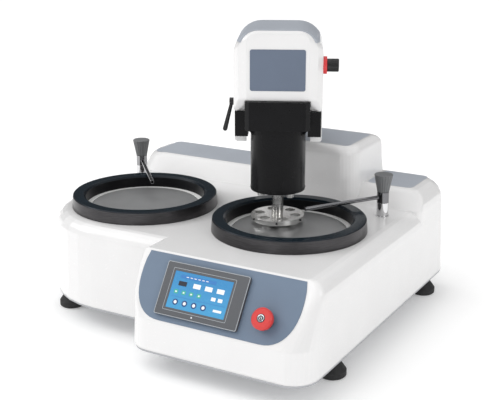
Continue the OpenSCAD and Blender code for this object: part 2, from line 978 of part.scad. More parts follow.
// Belt round both pulleys: two arcs and the two straight runs that touch them
module belt_outline(grow) {
  far = motor_y - disc_y;
  big = large_pulley_d / 2 + play + grow;
  small = small_pulley_r + play + grow;
  a = asin((big - small) / far);
  union() {
    circle(r = big);
    translate([0, far])
      circle(r = small);
    polygon([
      [big * cos(a), big * sin(a)],
      [small * cos(a), far + small * sin(a)],
      [-small * cos(a), far + small * sin(a)],
      [-big * cos(a), big * sin(a)]
    ]);
  }
}

module drive_belt(x) {
  color([0.1, 0.1, 0.1])
    translate([x, disc_y, pulley_z + pulley_rim])
      linear_extrude(height = belt_w)
        difference() {
          belt_outline(belt_t);
          belt_outline(0);
        }
}

motor_foot_t = 8;
motor_foot_w = 96;
motor_cap_h = 8;

module drive_motor(x) {
  color("dimgray")
    translate([x, motor_y, frame_top])
      difference() {
        union() {
          translate([-motor_foot_w / 2, -motor_foot_w / 2, 0])
            cube([motor_foot_w, motor_foot_w, motor_foot_t]);
          cylinder(d = motor_d, h = motor_h - motor_cap_h);
          translate([0, 0, motor_h - motor_cap_h])
            cylinder(d1 = motor_d, d2 = motor_d - motor_cap_h, h = motor_cap_h);
        }
        translate([0, 0, -over])
          cylinder(r = motor_shaft_r + fit, h = motor_foot_w / 2);
      }
}

// The motor's rotor shaft reaches into the motor above the small pulley
rotor_in = 30;

module small_pulley_set(x) {
  small_pulley(x);
  color("silver")
    translate([x, motor_y, frame_z - over])
      cylinder(r = motor_shaft_r, h = frame_t + over + rotor_in);
}

// Drain pipe: down from the bowl, then back through the service panel
drain_bore_r = 8;
drain_lift = 30;
drain_z = base_top + drain_lift;
spigot_l = 22;
spigot_step = 1;
shoulder_l = 3;

module drain_pipe(x) {
  r = drain_d / 2;
  shoulder_y = panel_y + shoulder_l;
  end_y = panel_y + spigot_l;
  color("lightgray")
    translate([x + drain_out, 0, 0])
      difference() {
        union() {
          translate([0, disc_y, drain_z])
            cylinder(r = r, h = bowl_z - drain_z);
          translate([0, disc_y, bowl_z - bowl_t])
            cylinder(r = drain_flange_r, h = bowl_t);
          translate([0, disc_y, drain_z])
            sphere(r = r);
          translate([0, disc_y, drain_z])
            rotate([-90, 0, 0])
              cylinder(r = r, h = shoulder_y - disc_y);
          translate([0, shoulder_y - over, drain_z])
            rotate([-90, 0, 0])
              cylinder(r = r - spigot_step, h = end_y - shoulder_y + over);
        }
        translate([0, disc_y, drain_z])
          cylinder(r = drain_bore_r, h = bowl_z);
        translate([0, disc_y, drain_z])
          sphere(r = drain_bore_r);
        translate([0, disc_y, drain_z])
          rotate([-90, 0, 0])
            cylinder(r = drain_bore_r, h = body_d);
      }
}

// Feet

foot_top_r = 9;
foot_edge = 3;
foot_nut_h = 5;
foot_h = body_lift - foot_nut_h;
stud_in = 20;
nut_r = 10;

module rubber_feet() {
  color([0.08, 0.08, 0.08])
    for (p = feet)
      translate([p[0], p[1], 0])
        difference() {
          union() {
            cylinder(d1 = foot_d - 2 * foot_edge, d2 = foot_d, h = foot_edge);
            translate([0, 0, foot_edge])
              cylinder(d = foot_d, h = foot_band - foot_edge);
            translate([0, 0, foot_band])
              cylinder(d1 = foot_d, r2 = foot_top_r, h = foot_h - foot_band);
          }
          translate([0, 0, foot_h - stud_in])
            cylinder(r = stud_r, h = stud_in + over);
        }
}

// Threaded studs with a nut on each side of the base plate
module foot_studs() {
  color("silver")
    for (p = feet)
      translate([p[0], p[1], 0]) {
        translate([0, 0, foot_h - stud_in])
          cylinder(r = stud_r, h = stud_in + base_t + 3 * foot_nut_h);
        translate([0, 0, foot_h])
          cylinder(r = nut_r, h = foot_nut_h, $fn = 6);
        translate([0, 0, base_top])
          cylinder(r = nut_r, h = foot_nut_h, $fn = 6);
      }
}

unit_w = 140;
unit_d = 120;
unit_h = 38;
unit_y = 0;

module drive_unit() {
  color("darkslategray")
    translate([-unit_w / 2, unit_y, base_top])
      cube([unit_w, unit_d, unit_h]);
}

// Service panel with the power inlet, the switch and the water inlet

service_lift = 60;
service_z = base_top + service_lift;
inlet_x = -10;
inlet_w = 28;
inlet_h = 20;
inlet_d = 26;
inlet_wall = 3;
inlet_rim = 5;
inlet_rim_t = 3;
switch_x = -66;
switch_w = 22;
switch_h = 30;
water_x = 60;
water_r = 6;

module panel_window(x, w, h) {
  translate([x - w / 2, niche_y - over, service_z - h / 2])
    cube([w, panel_t + 2 * over, h]);
}

module rear_panel() {
  color("gainsboro")
    difference() {
      translate([niche_x - panel_w / 2, niche_y, panel_z])
        cube([panel_w, panel_t, panel_h]);
      panel_window(inlet_x, inlet_w + 2 * inlet_wall + pass, inlet_h + 2 * inlet_wall + pass);
      panel_window(switch_x, switch_w + 2 * inlet_wall + pass,
        switch_h + 2 * inlet_wall + pass);
      translate([water_x, niche_y - over, service_z])
        rotate([-90, 0, 0])
          cylinder(r = water_r + pass / 2, h = panel_t + 2 * over);
      for (x = disc_xs)
        translate([x + drain_out, niche_y - over, drain_z])
          rotate([-90, 0, 0])
            cylinder(d = drain_d + pass, h = panel_t + 2 * over);
    }
}

// Frame of a panel fitting: a rim on the panel and a case through it
module panel_case(x, w, h) {
  translate([x - w / 2 - inlet_wall - inlet_rim, panel_y,
    service_z - h / 2 - inlet_wall - inlet_rim])
    cube([w + 2 * (inlet_wall + inlet_rim), inlet_rim_t, h + 2 * (inlet_wall + inlet_rim)]);
  translate([x - w / 2 - inlet_wall, panel_y - inlet_d, service_z - h / 2 - inlet_wall])
    cube([w + 2 * inlet_wall, inlet_d + over, h + 2 * inlet_wall]);
}

// Inlet socket with three pins, and the switch's frame beside it
module power_inlet() {
  inlet_pin_r = 2;
  inlet_pitch = 7;
  color([0.1, 0.1, 0.1])
    union() {
      difference() {
        union() {
          panel_case(inlet_x, inlet_w, inlet_h);
          panel_case(switch_x, switch_w, switch_h);
          translate([switch_x, panel_y, service_z - inlet_h / 2])
            cube([inlet_x - switch_x, inlet_rim_t, inlet_h]);
        }
        translate([inlet_x - inlet_w / 2, panel_y - inlet_d + inlet_wall,
          service_z - inlet_h / 2])
          cube([inlet_w, 2 * inlet_d, inlet_h]);
        translate([switch_x - switch_w / 2, panel_y - inlet_d + inlet_wall,
          service_z - switch_h / 2])
          cube([switch_w, 2 * inlet_d, switch_h]);
        translate([switch_x - switch_w, rocker_y, service_z])
          rotate([0, 90, 0])
            cylinder(r = rocker_pin_r + fit, h = 2 * switch_w);
      }
      for (i = [-1:1])
        translate([inlet_x + i * inlet_pitch, panel_y - inlet_d + inlet_wall - over,
          service_z + (1 - abs(i)) * inlet_pin_r])
          rotate([-90, 0, 0])
            cylinder(r = inlet_pin_r, h = inlet_d * 2 / 3);
    }
}

rocker_pin_r = 1.5;
rocker_in = 6;
rocker_y = panel_y - rocker_in;
rocker_tilt = 8;
rocker_gap = 0.6;
rocker_lobe = 11;

// Rocker on a cross pin, tipped to its off side
module power_switch() {
  half = switch_h / 2 - 3 * rocker_gap;
  color("black")
    union() {
      translate([switch_x - switch_w / 2 + rocker_gap, rocker_y, service_z])
        rotate([90, 0, 90])
          rotate([0, 0, rocker_tilt])
            linear_extrude(height = switch_w - 2 * rocker_gap)
              polygon([
                [-rocker_lobe / 2, -half / 2], [rocker_lobe / 2, -half],
                [rocker_lobe * 2 / 3, 0], [rocker_lobe / 2, half],
                [-rocker_lobe / 2, half / 2]
              ]);
      translate([switch_x - switch_w / 2 - inlet_wall / 2, rocker_y, service_z])
        rotate([0, 90, 0])
          cylinder(r = rocker_pin_r, h = switch_w + inlet_wall);
    }
}

water_bore_r = 3.5;
water_nut_r = 11;
water_nut_t = 5;
tube_r = 4;
tee_back = 26;
tee_y = tap_y + tee_back;
tube_lift = 20;
tube_z = frame_top + tube_lift;
tube_end_y = niche_y - 2 * water_nut_t;
tube_drop_y = tube_end_y - 4 * tube_r;

module water_inlet() {
  color("goldenrod")
    translate([water_x, niche_y, service_z])
      rotate([-90, 0, 0])
        difference() {
          union() {
            translate([0, 0, -3 * water_nut_t])
              cylinder(r = water_r, h = 3 * water_nut_t + panel_t + spigot_l);
            translate([0, 0, panel_t])
              cylinder(r = water_nut_r, h = water_nut_t, $fn = 6);
            translate([0, 0, -water_nut_t])
              cylinder(r = water_nut_r, h = water_nut_t, $fn = 6);
          }
          translate([0, 0, -water_nut_t])
            cylinder(r = water_bore_r, h = 2 * spigot_l + panel_t);
          translate([0, 0, -3 * water_nut_t - over])
            cylinder(r = tube_r, h = 2 * water_nut_t + over);
        }
}

// A straight tube between two points that differ along one axis only, with round ends
module tube_run(a, b) {
  d = b - a;
  turn = d[0] != 0 ? [0, d[0] > 0 ? 90 : -90, 0] : d[1] != 0 ? [d[1] > 0 ? -90 : 90, 0, 0]
    : [d[2] > 0 ? 0 : 180, 0, 0];
  translate(a) {
    sphere(r = tube_r);
    rotate(turn)
      cylinder(r = tube_r, h = norm(d));
  }
  translate(b)
    sphere(r = tube_r);
}

tap_shank_below = 22;
tap_shank_l = shell_wall + tap_shank_below;

// Push-in water lines from the inlet up to each tap
module water_tubes() {
  tee = [water_x, tee_y, tube_z];
  drop = [water_x, tube_drop_y, service_z];
  color("lightcyan")
    union() {
      translate(drop)
        rotate([-90, 0, 0])
          cylinder(r = tube_r, h = tube_end_y - tube_drop_y);
      tube_run(drop, [water_x, tube_drop_y, tube_z]);
      tube_run([water_x, tube_drop_y, tube_z], tee);
      for (x = tap_xs) {
        tube_run(tee, [x, tee_y, tube_z]);
        tube_run([x, tee_y, tube_z], [x, tap_y, tube_z]);
        translate([x, tap_y, tube_z])
          cylinder(r = tube_r, h = deck_h - tap_shank_l - tube_z);
      }
    }
}

// Water taps

tap_foot_r = 14;
tap_foot_t = 2;
tap_neck_r = 7;
sleeve_h = 22;
stem_r = 3;
stem_h = 11;
spout_drop = 5;
spout_wall = 1.2;
sleeve_z = deck_h + tap_h - sleeve_h;

module tap_posts() {
  color("silver")
    for (x = tap_xs)
      translate([x, tap_y, 0])
        union() {
          translate([0, 0, deck_h - tap_shank_l])
            cylinder(r = tap_shank_r, h = tap_shank_l + over);
          translate([0, 0, deck_h])
            cylinder(r = tap_foot_r, h = tap_foot_t);
          translate([0, 0, deck_h])
            cylinder(d = tap_d, h = sleeve_z - deck_h - play);
          translate([0, 0, deck_h])
            cylinder(r = tap_neck_r, h = tap_h + play);
          translate([0, 0, deck_h + tap_h])
            cylinder(r = stem_r, h = stem_h);
          translate([0, 0, deck_h - shell_wall - tap_nut_t])
            cylinder(r = tap_nut_r, h = tap_nut_t, $fn = 6);
        }
}

spout_turn = 52.6;
spout_turn_left = 47.3;

// Swivelling sleeve with the spout, drawn with the spout along +X and turned into place
module spout(x, turn) {
  slope = atan(spout_drop / spout_reach);
  color("silver")
    translate([x, tap_y, sleeve_z])
      rotate([0, 0, turn])
        difference() {
          union() {
            cylinder(d = tap_d, h = sleeve_h - play);
            translate([0, 0, sleeve_h / 2])
              rotate([0, 90 + slope, 0])
                cylinder(d = spout_d, h = spout_reach / cos(slope));
          }
          translate([0, 0, -over])
            cylinder(r = tap_neck_r + fit, h = sleeve_h + 2 * over);
          translate([0, 0, sleeve_h / 2])
            rotate([0, 90 + slope, 0])
              cylinder(r = spout_d / 2 - spout_wall, h = 2 * spout_reach);
        }
}

flute_count = 18;
flute_r = 1.4;

// Fluted knob that widens upwards
module tap_knob(x) {
  foot_r = tap_d / 2;
  top_r = tap_knob_d / 2;
  lean = atan((top_r - foot_r) / tap_knob_h);
  color("gray")
    translate([x, tap_y, deck_h + tap_h + play])
      difference() {
        union() {
          cylinder(r1 = foot_r, r2 = top_r, h = tap_knob_h - flute_r);
          translate([0, 0, tap_knob_h - flute_r])
            cylinder(r1 = top_r, r2 = top_r - flute_r, h = flute_r);
        }
        for (i = [1:flute_count])
          rotate([0, 0, 360 * i / flute_count])
            translate([foot_r + flute_r / 2, 0, 0])
              rotate([0, lean, 0])
                cylinder(r = flute_r, h = 2 * tap_knob_h, $fn = 24);
        translate([0, 0, -over])
          cylinder(r = tap_neck_r + 2 * play, h = over + 2 * play);
        translate([0, 0, -over])
          cylinder(r = stem_r + fit, h = stem_h + over + play);
      }
}

// Column and head. In the head's own frame x is to its right and -y is ahead of it.

head_x = column_x + arm_reach * sin(arm_angle);
head_y = column_y - arm_reach * cos(arm_angle);

module on_head() {
  translate([head_x, head_y, 0])
    rotate([0, 0, arm_angle])
      children();
}

column_foot_r = 46;
column_foot_t = 12;
column_foot_ring_r = 40;
column_ring_h = 10;
collar_r = 46;
collar_h = 70;
collar_z = wing_z;
column_over = 30;
stop_ring_h = 12;

// Column on the frame plate, with the stop ring that the head's collar rests on
module column() {
  color("silver")
    translate([column_x, column_y, 0])
      union() {
        translate([0, 0, frame_top])
          cylinder(r = column_foot_r, h = column_foot_t);
        translate([0, 0, frame_top])
          cylinder(d = column_d, h = collar_z + collar_h + column_over - frame_top);
        translate([0, 0, tower_h])
          cylinder(r = column_foot_ring_r, h = column_ring_h);
        translate([0, 0, collar_z - play - stop_ring_h])
          cylinder(r = column_foot_ring_r, h = stop_ring_h);
      }
}

wing_short = 4;
wing_w = head_w - wing_short;
wing_t = 28;
wing_in = 25;
boss_t = 3;
block_chamfer = 8;
block_back = 52;
arm_w = 88;
arm_h = 40;

// Cast block that guides the press cylinder, its wings, and the arm to the column
module head_frame() {
  guide_r = cylinder_r + guide_play;
  color([0.13, 0.13, 0.14])
    on_head()
      difference() {
        union() {
          translate([0, 0, block_z])
            linear_extrude(height = block_h)
              polygon([
                [-block_w / 2, block_back],
                [-block_w / 2, -block_front + block_chamfer],
                [-block_w / 2 + block_chamfer, -block_front],
                [block_w / 2 - block_chamfer, -block_front],
                [block_w / 2, -block_front + block_chamfer],
                [block_w / 2, block_back]
              ]);
          for (s = sides)
            translate([s * (wing_w - wing_in) / 2 - wing_in / 2, -wing_front, wing_z])
              cube([wing_in, wing_t, wing_h]);
          translate([0, 0, wing_z + wing_drop / 3])
            cylinder(r = guide_r + boss_t, h = block_z - wing_z);
          translate([-arm_w / 2, 0, block_z])
            cube([arm_w, arm_reach, arm_h]);
          translate([0, arm_reach, collar_z])
            cylinder(r = collar_r, h = collar_h);
        }
        translate([0, 0, wing_z - over])
          cylinder(r = guide_r, h = block_top);
        translate([0, arm_reach, collar_z - over])
          cylinder(d = column_d + 2 * fit, h = collar_h + 2 * over);
        translate([-block_w / 2 - over, -lever_y, lever_z])
          rotate([0, 90, 0])
            cylinder(r = lever_stud_r + fit, h = lever_stud_in + over);
      }
}

head_back_flat = 95;
tail_r = 52;
tail_z = 500;
face_edge = 2;
face_corner_r = 18;
shoulder_in = 10;
shoulder_front = 47;

// Upright outline of the head cover across its width, as seen from the front
function head_outline(half, z0, z1, r_low, r_top) = concat(
  arc_points(half - r_top, z1 - r_top, r_top, 0, 90),
  arc_points(-half + r_top, z1 - r_top, r_top, 90, 180),
  arc_points(-half + r_low, z0 + r_low, r_low, 180, 270),
  arc_points(half - r_low, z0 + r_low, r_low, 270, 360)
);

// Slice of the head that ends at y and is l long
module head_slice(y, outline, l = leaf) {
  translate([0, y, 0])
    rotate([90, 0, 0])
      linear_extrude(height = l)
        polygon(outline);
}

head_low_r = 6;

module head_upper(e) {
  half = head_w / 2 - e;
  face = face_w / 2 - e;
  z0 = block_top + e / 2;
  side_z = wing_z + wing_h + pass - e;
  top = head_top - e;
  shoulder = half - shoulder_in;
  hull() {
    head_slice(-face_front + e, head_outline(face - face_edge, z0 + face_edge,
      top - 3 * face_edge, head_low_r, face_corner_r - face_edge));
    head_slice(-face_front + e + face_edge, head_outline(face, z0,
      top - 2 * face_edge, head_low_r, face_corner_r));
    head_slice(-shoulder_front + e, head_outline(shoulder, z0 - face_edge, top,
      head_low_r, head_corner_r - shoulder_in));
    head_slice(head_back_flat - e, head_outline(half, side_z, top, head_low_r,
      head_corner_r - e), head_back_flat - e + wing_front - e);
  }
}

module head_lower(e) {
  half = head_w / 2 - e;
  hull() {
    head_slice(head_back_flat, head_outline(half, rim_z - e, block_top + block_h / 2,
      head_low_r, head_low_r), head_back_flat - wing_t + wing_front - e);
    for (s = sides)
      translate([s * (tail_r - head_corner_r / 2), arm_reach + tail_r - head_corner_r / 2,
        rim_z - e])
        cylinder(r = head_corner_r / 2 - e, h = tail_z - head_corner_r - rim_z, $fn = 32);
  }
}

// Sloping back of the cover between its flat top and the column
module head_slope(e) {
  half = head_w / 2 - e;
  hull() {
    head_slice(head_back_flat - 2 * e, head_outline(half, block_z, head_top - e,
      head_low_r, head_corner_r - e));
    for (s = sides)
      translate([s * (tail_r - head_corner_r / 2), arm_reach + tail_r - head_corner_r / 2,
        block_z])
        cylinder(r = head_corner_r / 2 - e, h = tail_z - e - block_z, $fn = 32);
  }
}

module head_shape(e) {
  head_upper(e);
  head_lower(e);
  head_slope(e);
}

knob_v = 12;
knob_lift = 62;
knob_z = block_top + knob_lift;
knob_ring_d = 33;
knob_ring_t = 7;
knob_d = 24.5;
knob_l = 22;
knob_stem_r = 4;
lever_y = 6;
lever_lift = 45;
lever_z = block_z + lever_lift;
lever_stud_r = 5;
lever_stud_in = 7;
lever_hub_r = 7;
lever_hub_l = 9;
lever_l = 60;
lever_lean = 14;

module head_cover() {
  color("whitesmoke")
    on_head()
      difference() {
        head_shape(0);
        head_shape(head_wall);
        // Openings under the cover for the press cylinder and the block
        translate([0, 0, rim_z])
          cylinder(r = cylinder_r + guide_play + pass, h = block_top + block_h / 2 - rim_z);
        translate([-block_w / 2 - pass, -2 * face_front, rim_z - over])
          cube([block_w + 2 * pass, 2 * face_front + block_back + pass,
            block_top - rim_z + over]);
        translate([head_w / 2 - 2 * head_wall, -knob_v, knob_z])
          rotate([0, 90, 0])
            cylinder(r = knob_stem_r + pass, h = 3 * head_wall);
        translate([-head_w / 2 - head_wall, -lever_y, lever_z])
          rotate([0, 90, 0])
            cylinder(r = lever_stud_r + pass, h = 3 * head_wall);
      }
}

head_skin_t = 1;
head_skin_h = 23;
face_plate_w = 103;
face_plate_h = 77;
face_plate_t = 0.8;
face_plate_lift = 20;
face_plate_r = 4;

// Grey skin over the cover's rounded top
module head_trim() {
  skin_y0 = -shoulder_front - face_edge;
  color("slategray")
    on_head()
      intersection() {
        difference() {
          head_upper(-head_skin_t);
          head_upper(0);
          head_slope(0);
        }
        translate([-head_w, skin_y0, head_top - head_skin_h])
          cube([2 * head_w, head_back_flat - skin_y0 - 2 * head_skin_t,
            2 * head_skin_h]);
      }
}

// Label plate on the cover's front
module head_label() {
  face_z = block_top + face_plate_lift;
  color("slategray")
    on_head()
      translate([0, -face_front - leaf, 0])
        rotate([90, 0, 0])
          rounded_plate(-face_plate_w / 2, face_plate_w / 2, face_z,
            face_z + face_plate_h, face_plate_r, face_plate_t);
}

quill_wall = 7;
carrier_gap = 0.5;
pin_hold = 6;
carrier_t = pin_travel + pin_hold;
carrier_r = cylinder_r - quill_wall;
carrier_in = 1;
carrier_z = cylinder_z + carrier_in;
spindle_bush_w = 14;
seat_gap = 4;
lower_seat_z = carrier_z + carrier_t + seat_gap;
upper_seat_z = cylinder_top - 2 * spindle_bush_w;

// Press cylinder: a sleeve with a bush for the spindle at each end
module press_cylinder() {
  bore_r = carrier_r + carrier_gap;
  color([0.12, 0.12, 0.13])
    on_head()
      rotate_extrude()
        polygon([
          [bore_r, cylinder_z],
          [cylinder_r, cylinder_z],
          [cylinder_r, cylinder_top],
          [spindle_d / 2 + pass, cylinder_top],
          [spindle_d / 2 + pass, upper_seat_z + spindle_bush_w],
          [spindle_d / 2 + fit, upper_seat_z + spindle_bush_w],
          [spindle_d / 2 + fit, upper_seat_z],
          [bore_r, upper_seat_z],
          [bore_r, lower_seat_z + spindle_bush_w],
          [spindle_d / 2 + fit, lower_seat_z + spindle_bush_w],
          [spindle_d / 2 + fit, lower_seat_z],
          [bore_r, lower_seat_z]
        ]);
}

gear_w = 72;
gear_h = 40;
gear_motor_r = 24;
gear_top_gap = 12.5;
gear_motor_h = head_top - head_wall - cylinder_top - gear_h - quill_up - gear_top_gap;
gear_bore_in = 16;

module head_motor() {
  color("dimgray")
    on_head()
      translate([0, 0, cylinder_top])
        difference() {
          union() {
            translate([-gear_w / 2, -gear_w / 2, 0])
              cube([gear_w, gear_w, gear_h]);
            translate([0, 0, gear_h - over])
              cylinder(r = gear_motor_r, h = gear_motor_h + over);
          }
          translate([0, 0, -over])
            cylinder(d = spindle_d + 2 * fit, h = gear_bore_in + over + pass);
        }
}

// Spindle with the carrier disc that guides the press pins
module spindle() {
  color("silver")
    on_head()
      difference() {
        union() {
          translate([0, 0, holder_top + stub_h])
            cylinder(d = spindle_d,
              h = cylinder_top + gear_bore_in - holder_top - stub_h);
          translate([0, 0, carrier_z])
            cylinder(r = carrier_r, h = carrier_t);
        }
        for (i = [1:pin_count])
          on_circle(i, pin_count, pin_r, pin_turn)
            translate([0, 0, carrier_z - over])
              cylinder(d = pin_d + 2 * fit, h = carrier_t + 2 * over);
      }
}

// Place i of count on a circle of radius r, the first at an angle from straight ahead
module on_circle(i, count, r, turn) {
  rotate([0, 0, 360 * i / count - 90 + turn])
    translate([r, 0, 0])
      children();
}

module sample_holder() {
  color("lightgray")
    on_head()
      translate([0, 0, holder_z])
        difference() {
          union() {
            cylinder(d = holder_d, h = holder_t);
            cylinder(d = spindle_d, h = holder_t + stub_h);
          }
          for (i = [1:sample_count])
            on_circle(i, sample_count, sample_r, sample_turn)
              translate([0, 0, -over])
                cylinder(d = sample_d, h = holder_t + 2 * over);
        }
}

module press_pins() {
  color("silver")
    on_head()
      for (i = [1:pin_count])
        on_circle(i, pin_count, pin_r, pin_turn)
          translate([0, 0, cylinder_z - pin_show])
            cylinder(d = pin_d, h = carrier_z + carrier_t - cylinder_z + pin_show);
}

regulator_r = 15;
regulator_l = 26;

// Regulator inside the cover with its red ring outside
module pressure_regulator() {
  color("red")
    on_head()
      translate([head_w / 2, -knob_v, knob_z])
        rotate([0, 90, 0])
          difference() {
            union() {
              translate([0, 0, -head_wall - regulator_l])
                cylinder(r = regulator_r, h = regulator_l);
              translate([0, 0, -head_wall - over])
                cylinder(r = knob_stem_r + pass / 2, h = head_wall + 2 * over);
              cylinder(d = knob_ring_d, h = knob_ring_t);
            }
            translate([0, 0, -head_wall - regulator_l / 2])
              cylinder(r = knob_stem_r - over + fit, h = regulator_l + knob_ring_t);
          }
}

knob_rib_count = 16;
knob_rib_r = 1.1;

module pressure_knob() {
  stem_start = head_wall + regulator_l / 2;
  color([0.1, 0.1, 0.1])
    on_head()
      translate([head_w / 2, -knob_v, knob_z])
        rotate([0, 90, 0])
          difference() {
            union() {
              translate([0, 0, play - stem_start])
                cylinder(r = knob_stem_r - over,
                  h = stem_start + knob_ring_t);
              translate([0, 0, knob_ring_t + play])
                cylinder(d = knob_d, h = knob_l - knob_rib_r);
              translate([0, 0, knob_ring_t + play + knob_l - knob_rib_r])
                cylinder(d1 = knob_d, d2 = knob_d - 2 * knob_rib_r,
                  h = knob_rib_r);
            }
            for (i = [1:knob_rib_count])
              rotate([0, 0, 360 * i / knob_rib_count])
                translate([knob_d / 2 + knob_rib_r / 3, 0, 2 * knob_ring_t])
                  cylinder(r = knob_rib_r, h = 2 * knob_l, $fn = 24);
          }
}

// Clamp lever on the head's left side: hub, handle and the stud into the block
module clamp_lever() {
  out = head_w / 2 + play;
  end_r = 4.5;
  neck_r = 3.2;
  color([0.1, 0.1, 0.1])
    on_head()
      translate([0, -lever_y, lever_z])
        union() {
          rotate([0, -90, 0])
            translate([0, 0, out])
              cylinder(r = lever_hub_r, h = lever_hub_l);
          rotate([0, -90, 0])
            translate([0, 0, block_w / 2 - lever_stud_in + play])
              cylinder(r = lever_stud_r, h = out - block_w / 2 + lever_stud_in);
          translate([-out - lever_hub_l / 2, 0, 0])
            rotate([0, 180 + lever_lean, 0]) {
              cylinder(r1 = neck_r, r2 = end_r, h = lever_l - end_r);
              translate([0, 0, lever_l - end_r])
                sphere(r = end_r);
            }
        }
}

base_plate();
body_cover();
support_frame();
top_inlays();
fascia_plate();
screen_housing();
screen_glass();
stop_collar();
stop_button();
stop_contacts();
splash_ring(disc_xs[0]);  // left_ring
splash_ring(disc_xs[1]);  // right_ring
drip_bowl(disc_xs[0]);  // left_bowl
drip_bowl(disc_xs[1]);  // right_bowl
polishing_disc(disc_xs[0]);  // left_disc
polishing_disc(disc_xs[1]);  // right_disc
turntable(disc_xs[0]);  // left_turntable
turntable(disc_xs[1]);  // right_turntable
drive_shaft(disc_xs[0]);  // left_shaft
drive_shaft(disc_xs[1]);  // right_shaft
shaft_bearings(disc_xs[0]);  // left_bearings
shaft_bearings(disc_xs[1]);  // right_bearings
bearing_housing(disc_xs[0]);  // left_housing
bearing_housing(disc_xs[1]);  // right_housing
large_pulley(disc_xs[0]);  // large_pulley_left
large_pulley(disc_xs[1]);  // large_pulley_right
drive_motor(disc_xs[0]);  // left_motor
drive_motor(disc_xs[1]);  // right_motor
small_pulley_set(disc_xs[0]);  // small_pulley_left
small_pulley_set(disc_xs[1]);  // small_pulley_right
drive_belt(disc_xs[0]);  // left_belt
drive_belt(disc_xs[1]);  // right_belt
drain_pipe(disc_xs[0]);  // left_drain
drain_pipe(disc_xs[1]);  // right_drain
rubber_feet();
foot_studs();
drive_unit();
rear_panel();
power_inlet();
power_switch();
water_inlet();
water_tubes();
tap_posts();
spout(tap_xs[0], -spout_turn_left);  // left_spout
spout(tap_xs[1], 180 + spout_turn);  // right_spout
tap_knob(tap_xs[0]);  // left_tap_knob
tap_knob(tap_xs[1]);  // right_tap_knob
column();
head_frame();
head_cover();
head_trim();
head_label();
press_cylinder();
head_motor();
spindle();
sample_holder();
press_pins();
pressure_regulator();
pressure_knob();
clamp_lever();
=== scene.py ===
"""Dual disc polishing machine: finishes, small pieces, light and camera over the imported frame."""
import math

import bmesh
import bpy
from mathutils import Matrix, Vector


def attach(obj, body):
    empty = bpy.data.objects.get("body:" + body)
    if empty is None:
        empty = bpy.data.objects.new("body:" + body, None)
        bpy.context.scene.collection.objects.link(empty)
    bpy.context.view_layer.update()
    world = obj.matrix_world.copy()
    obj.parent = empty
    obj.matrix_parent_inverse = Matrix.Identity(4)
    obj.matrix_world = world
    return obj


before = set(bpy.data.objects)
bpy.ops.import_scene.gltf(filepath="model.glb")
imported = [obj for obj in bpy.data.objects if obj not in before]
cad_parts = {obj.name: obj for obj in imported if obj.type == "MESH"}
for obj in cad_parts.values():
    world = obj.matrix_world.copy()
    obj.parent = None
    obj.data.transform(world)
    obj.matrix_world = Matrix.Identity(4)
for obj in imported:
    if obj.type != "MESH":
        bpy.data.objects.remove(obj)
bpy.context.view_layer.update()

MM = 0.001

# Places on the machine, in millimetres, as the part's source has them
CONSOLE_TILT = math.radians(33.6)
KNEE = Vector((0, -339, 104))
CONSOLE_OUT = Vector((0, -math.cos(CONSOLE_TILT), math.sin(CONSOLE_TILT)))
CONSOLE_UP = Vector((0, math.sin(CONSOLE_TILT), math.cos(CONSOLE_TILT)))
DISPLAY_X, DISPLAY_UP, GLASS_FACE, HOUSING_FACE = 128.0, 63.5, 6.72, 6.75
HOUSING_X = 132.5
STOP_X, STOP_UP, STOP_FACE = 265.5, 45, 22.9
LEFT_DISC, RIGHT_DISC = Vector((-175, -42, 0)), Vector((166, -42, 0))
BOWL_LEDGE, DISC_TOP, RING_MIDDLE = 209.2, 213.5, 224.5
HEAD_AXIS = Vector((128.4, -19.6, 0))
HEAD_RIGHT, HEAD_AHEAD = Vector((0.8965, 0.4431, 0)), Vector((0.4431, -0.8965, 0))
BLOCK_UNDERSIDE, CYLINDER_FOOT, HOLDER_MIDDLE, HOLDER_RADIUS = 411.5, 283.5, 226, 52.4
PANEL_REAR, PANEL_HEIGHT, PANEL_X, LOUVRES_X = 315.0, 91, 80, 155
FEET = ((-289, -158), (331, -183), (331, 277), (-331, 277))
REARWARD, TO_THE_LEFT = Vector((0, 1, 0)), Vector((-1, 0, 0))
UP, DOWN = Vector((0, 0, 1)), Vector((0, 0, -1))

# How finely things are drawn
BEVEL_SAMPLES = 4
WAVE_PERIOD = 0.314          # what a ring texture of scale 1 repeats at
SMOOTH_BELOW = math.radians(35)
CORNER_STEPS = 6
BAR_CORNER_STEPS, SCREW_SIDES = 4, 24
WELD = 0.001


def spot(point, height=0.0):
    """A point over the floor plan at a height, both in millimetres, as metres."""
    return point.x * MM, point.y * MM, height * MM


# Finishes

class Value:
    """A socket's value, on which sums are written as plain Python."""

    def __init__(self, finish, socket):
        self.finish, self.socket = finish, socket

    def _sum(self, operation, first, second):
        return self.finish.node("ShaderNodeMath", {"operation": operation}, {0: first, 1: second})

    def __add__(self, other):
        return self._sum("ADD", self, other)

    def __radd__(self, other):
        return self._sum("ADD", other, self)

    def __sub__(self, other):
        return self._sum("SUBTRACT", self, other)

    def __rsub__(self, other):
        return self._sum("SUBTRACT", other, self)

    def __mul__(self, other):
        return self._sum("MULTIPLY", self, other)

    def __rmul__(self, other):
        return self._sum("MULTIPLY", other, self)


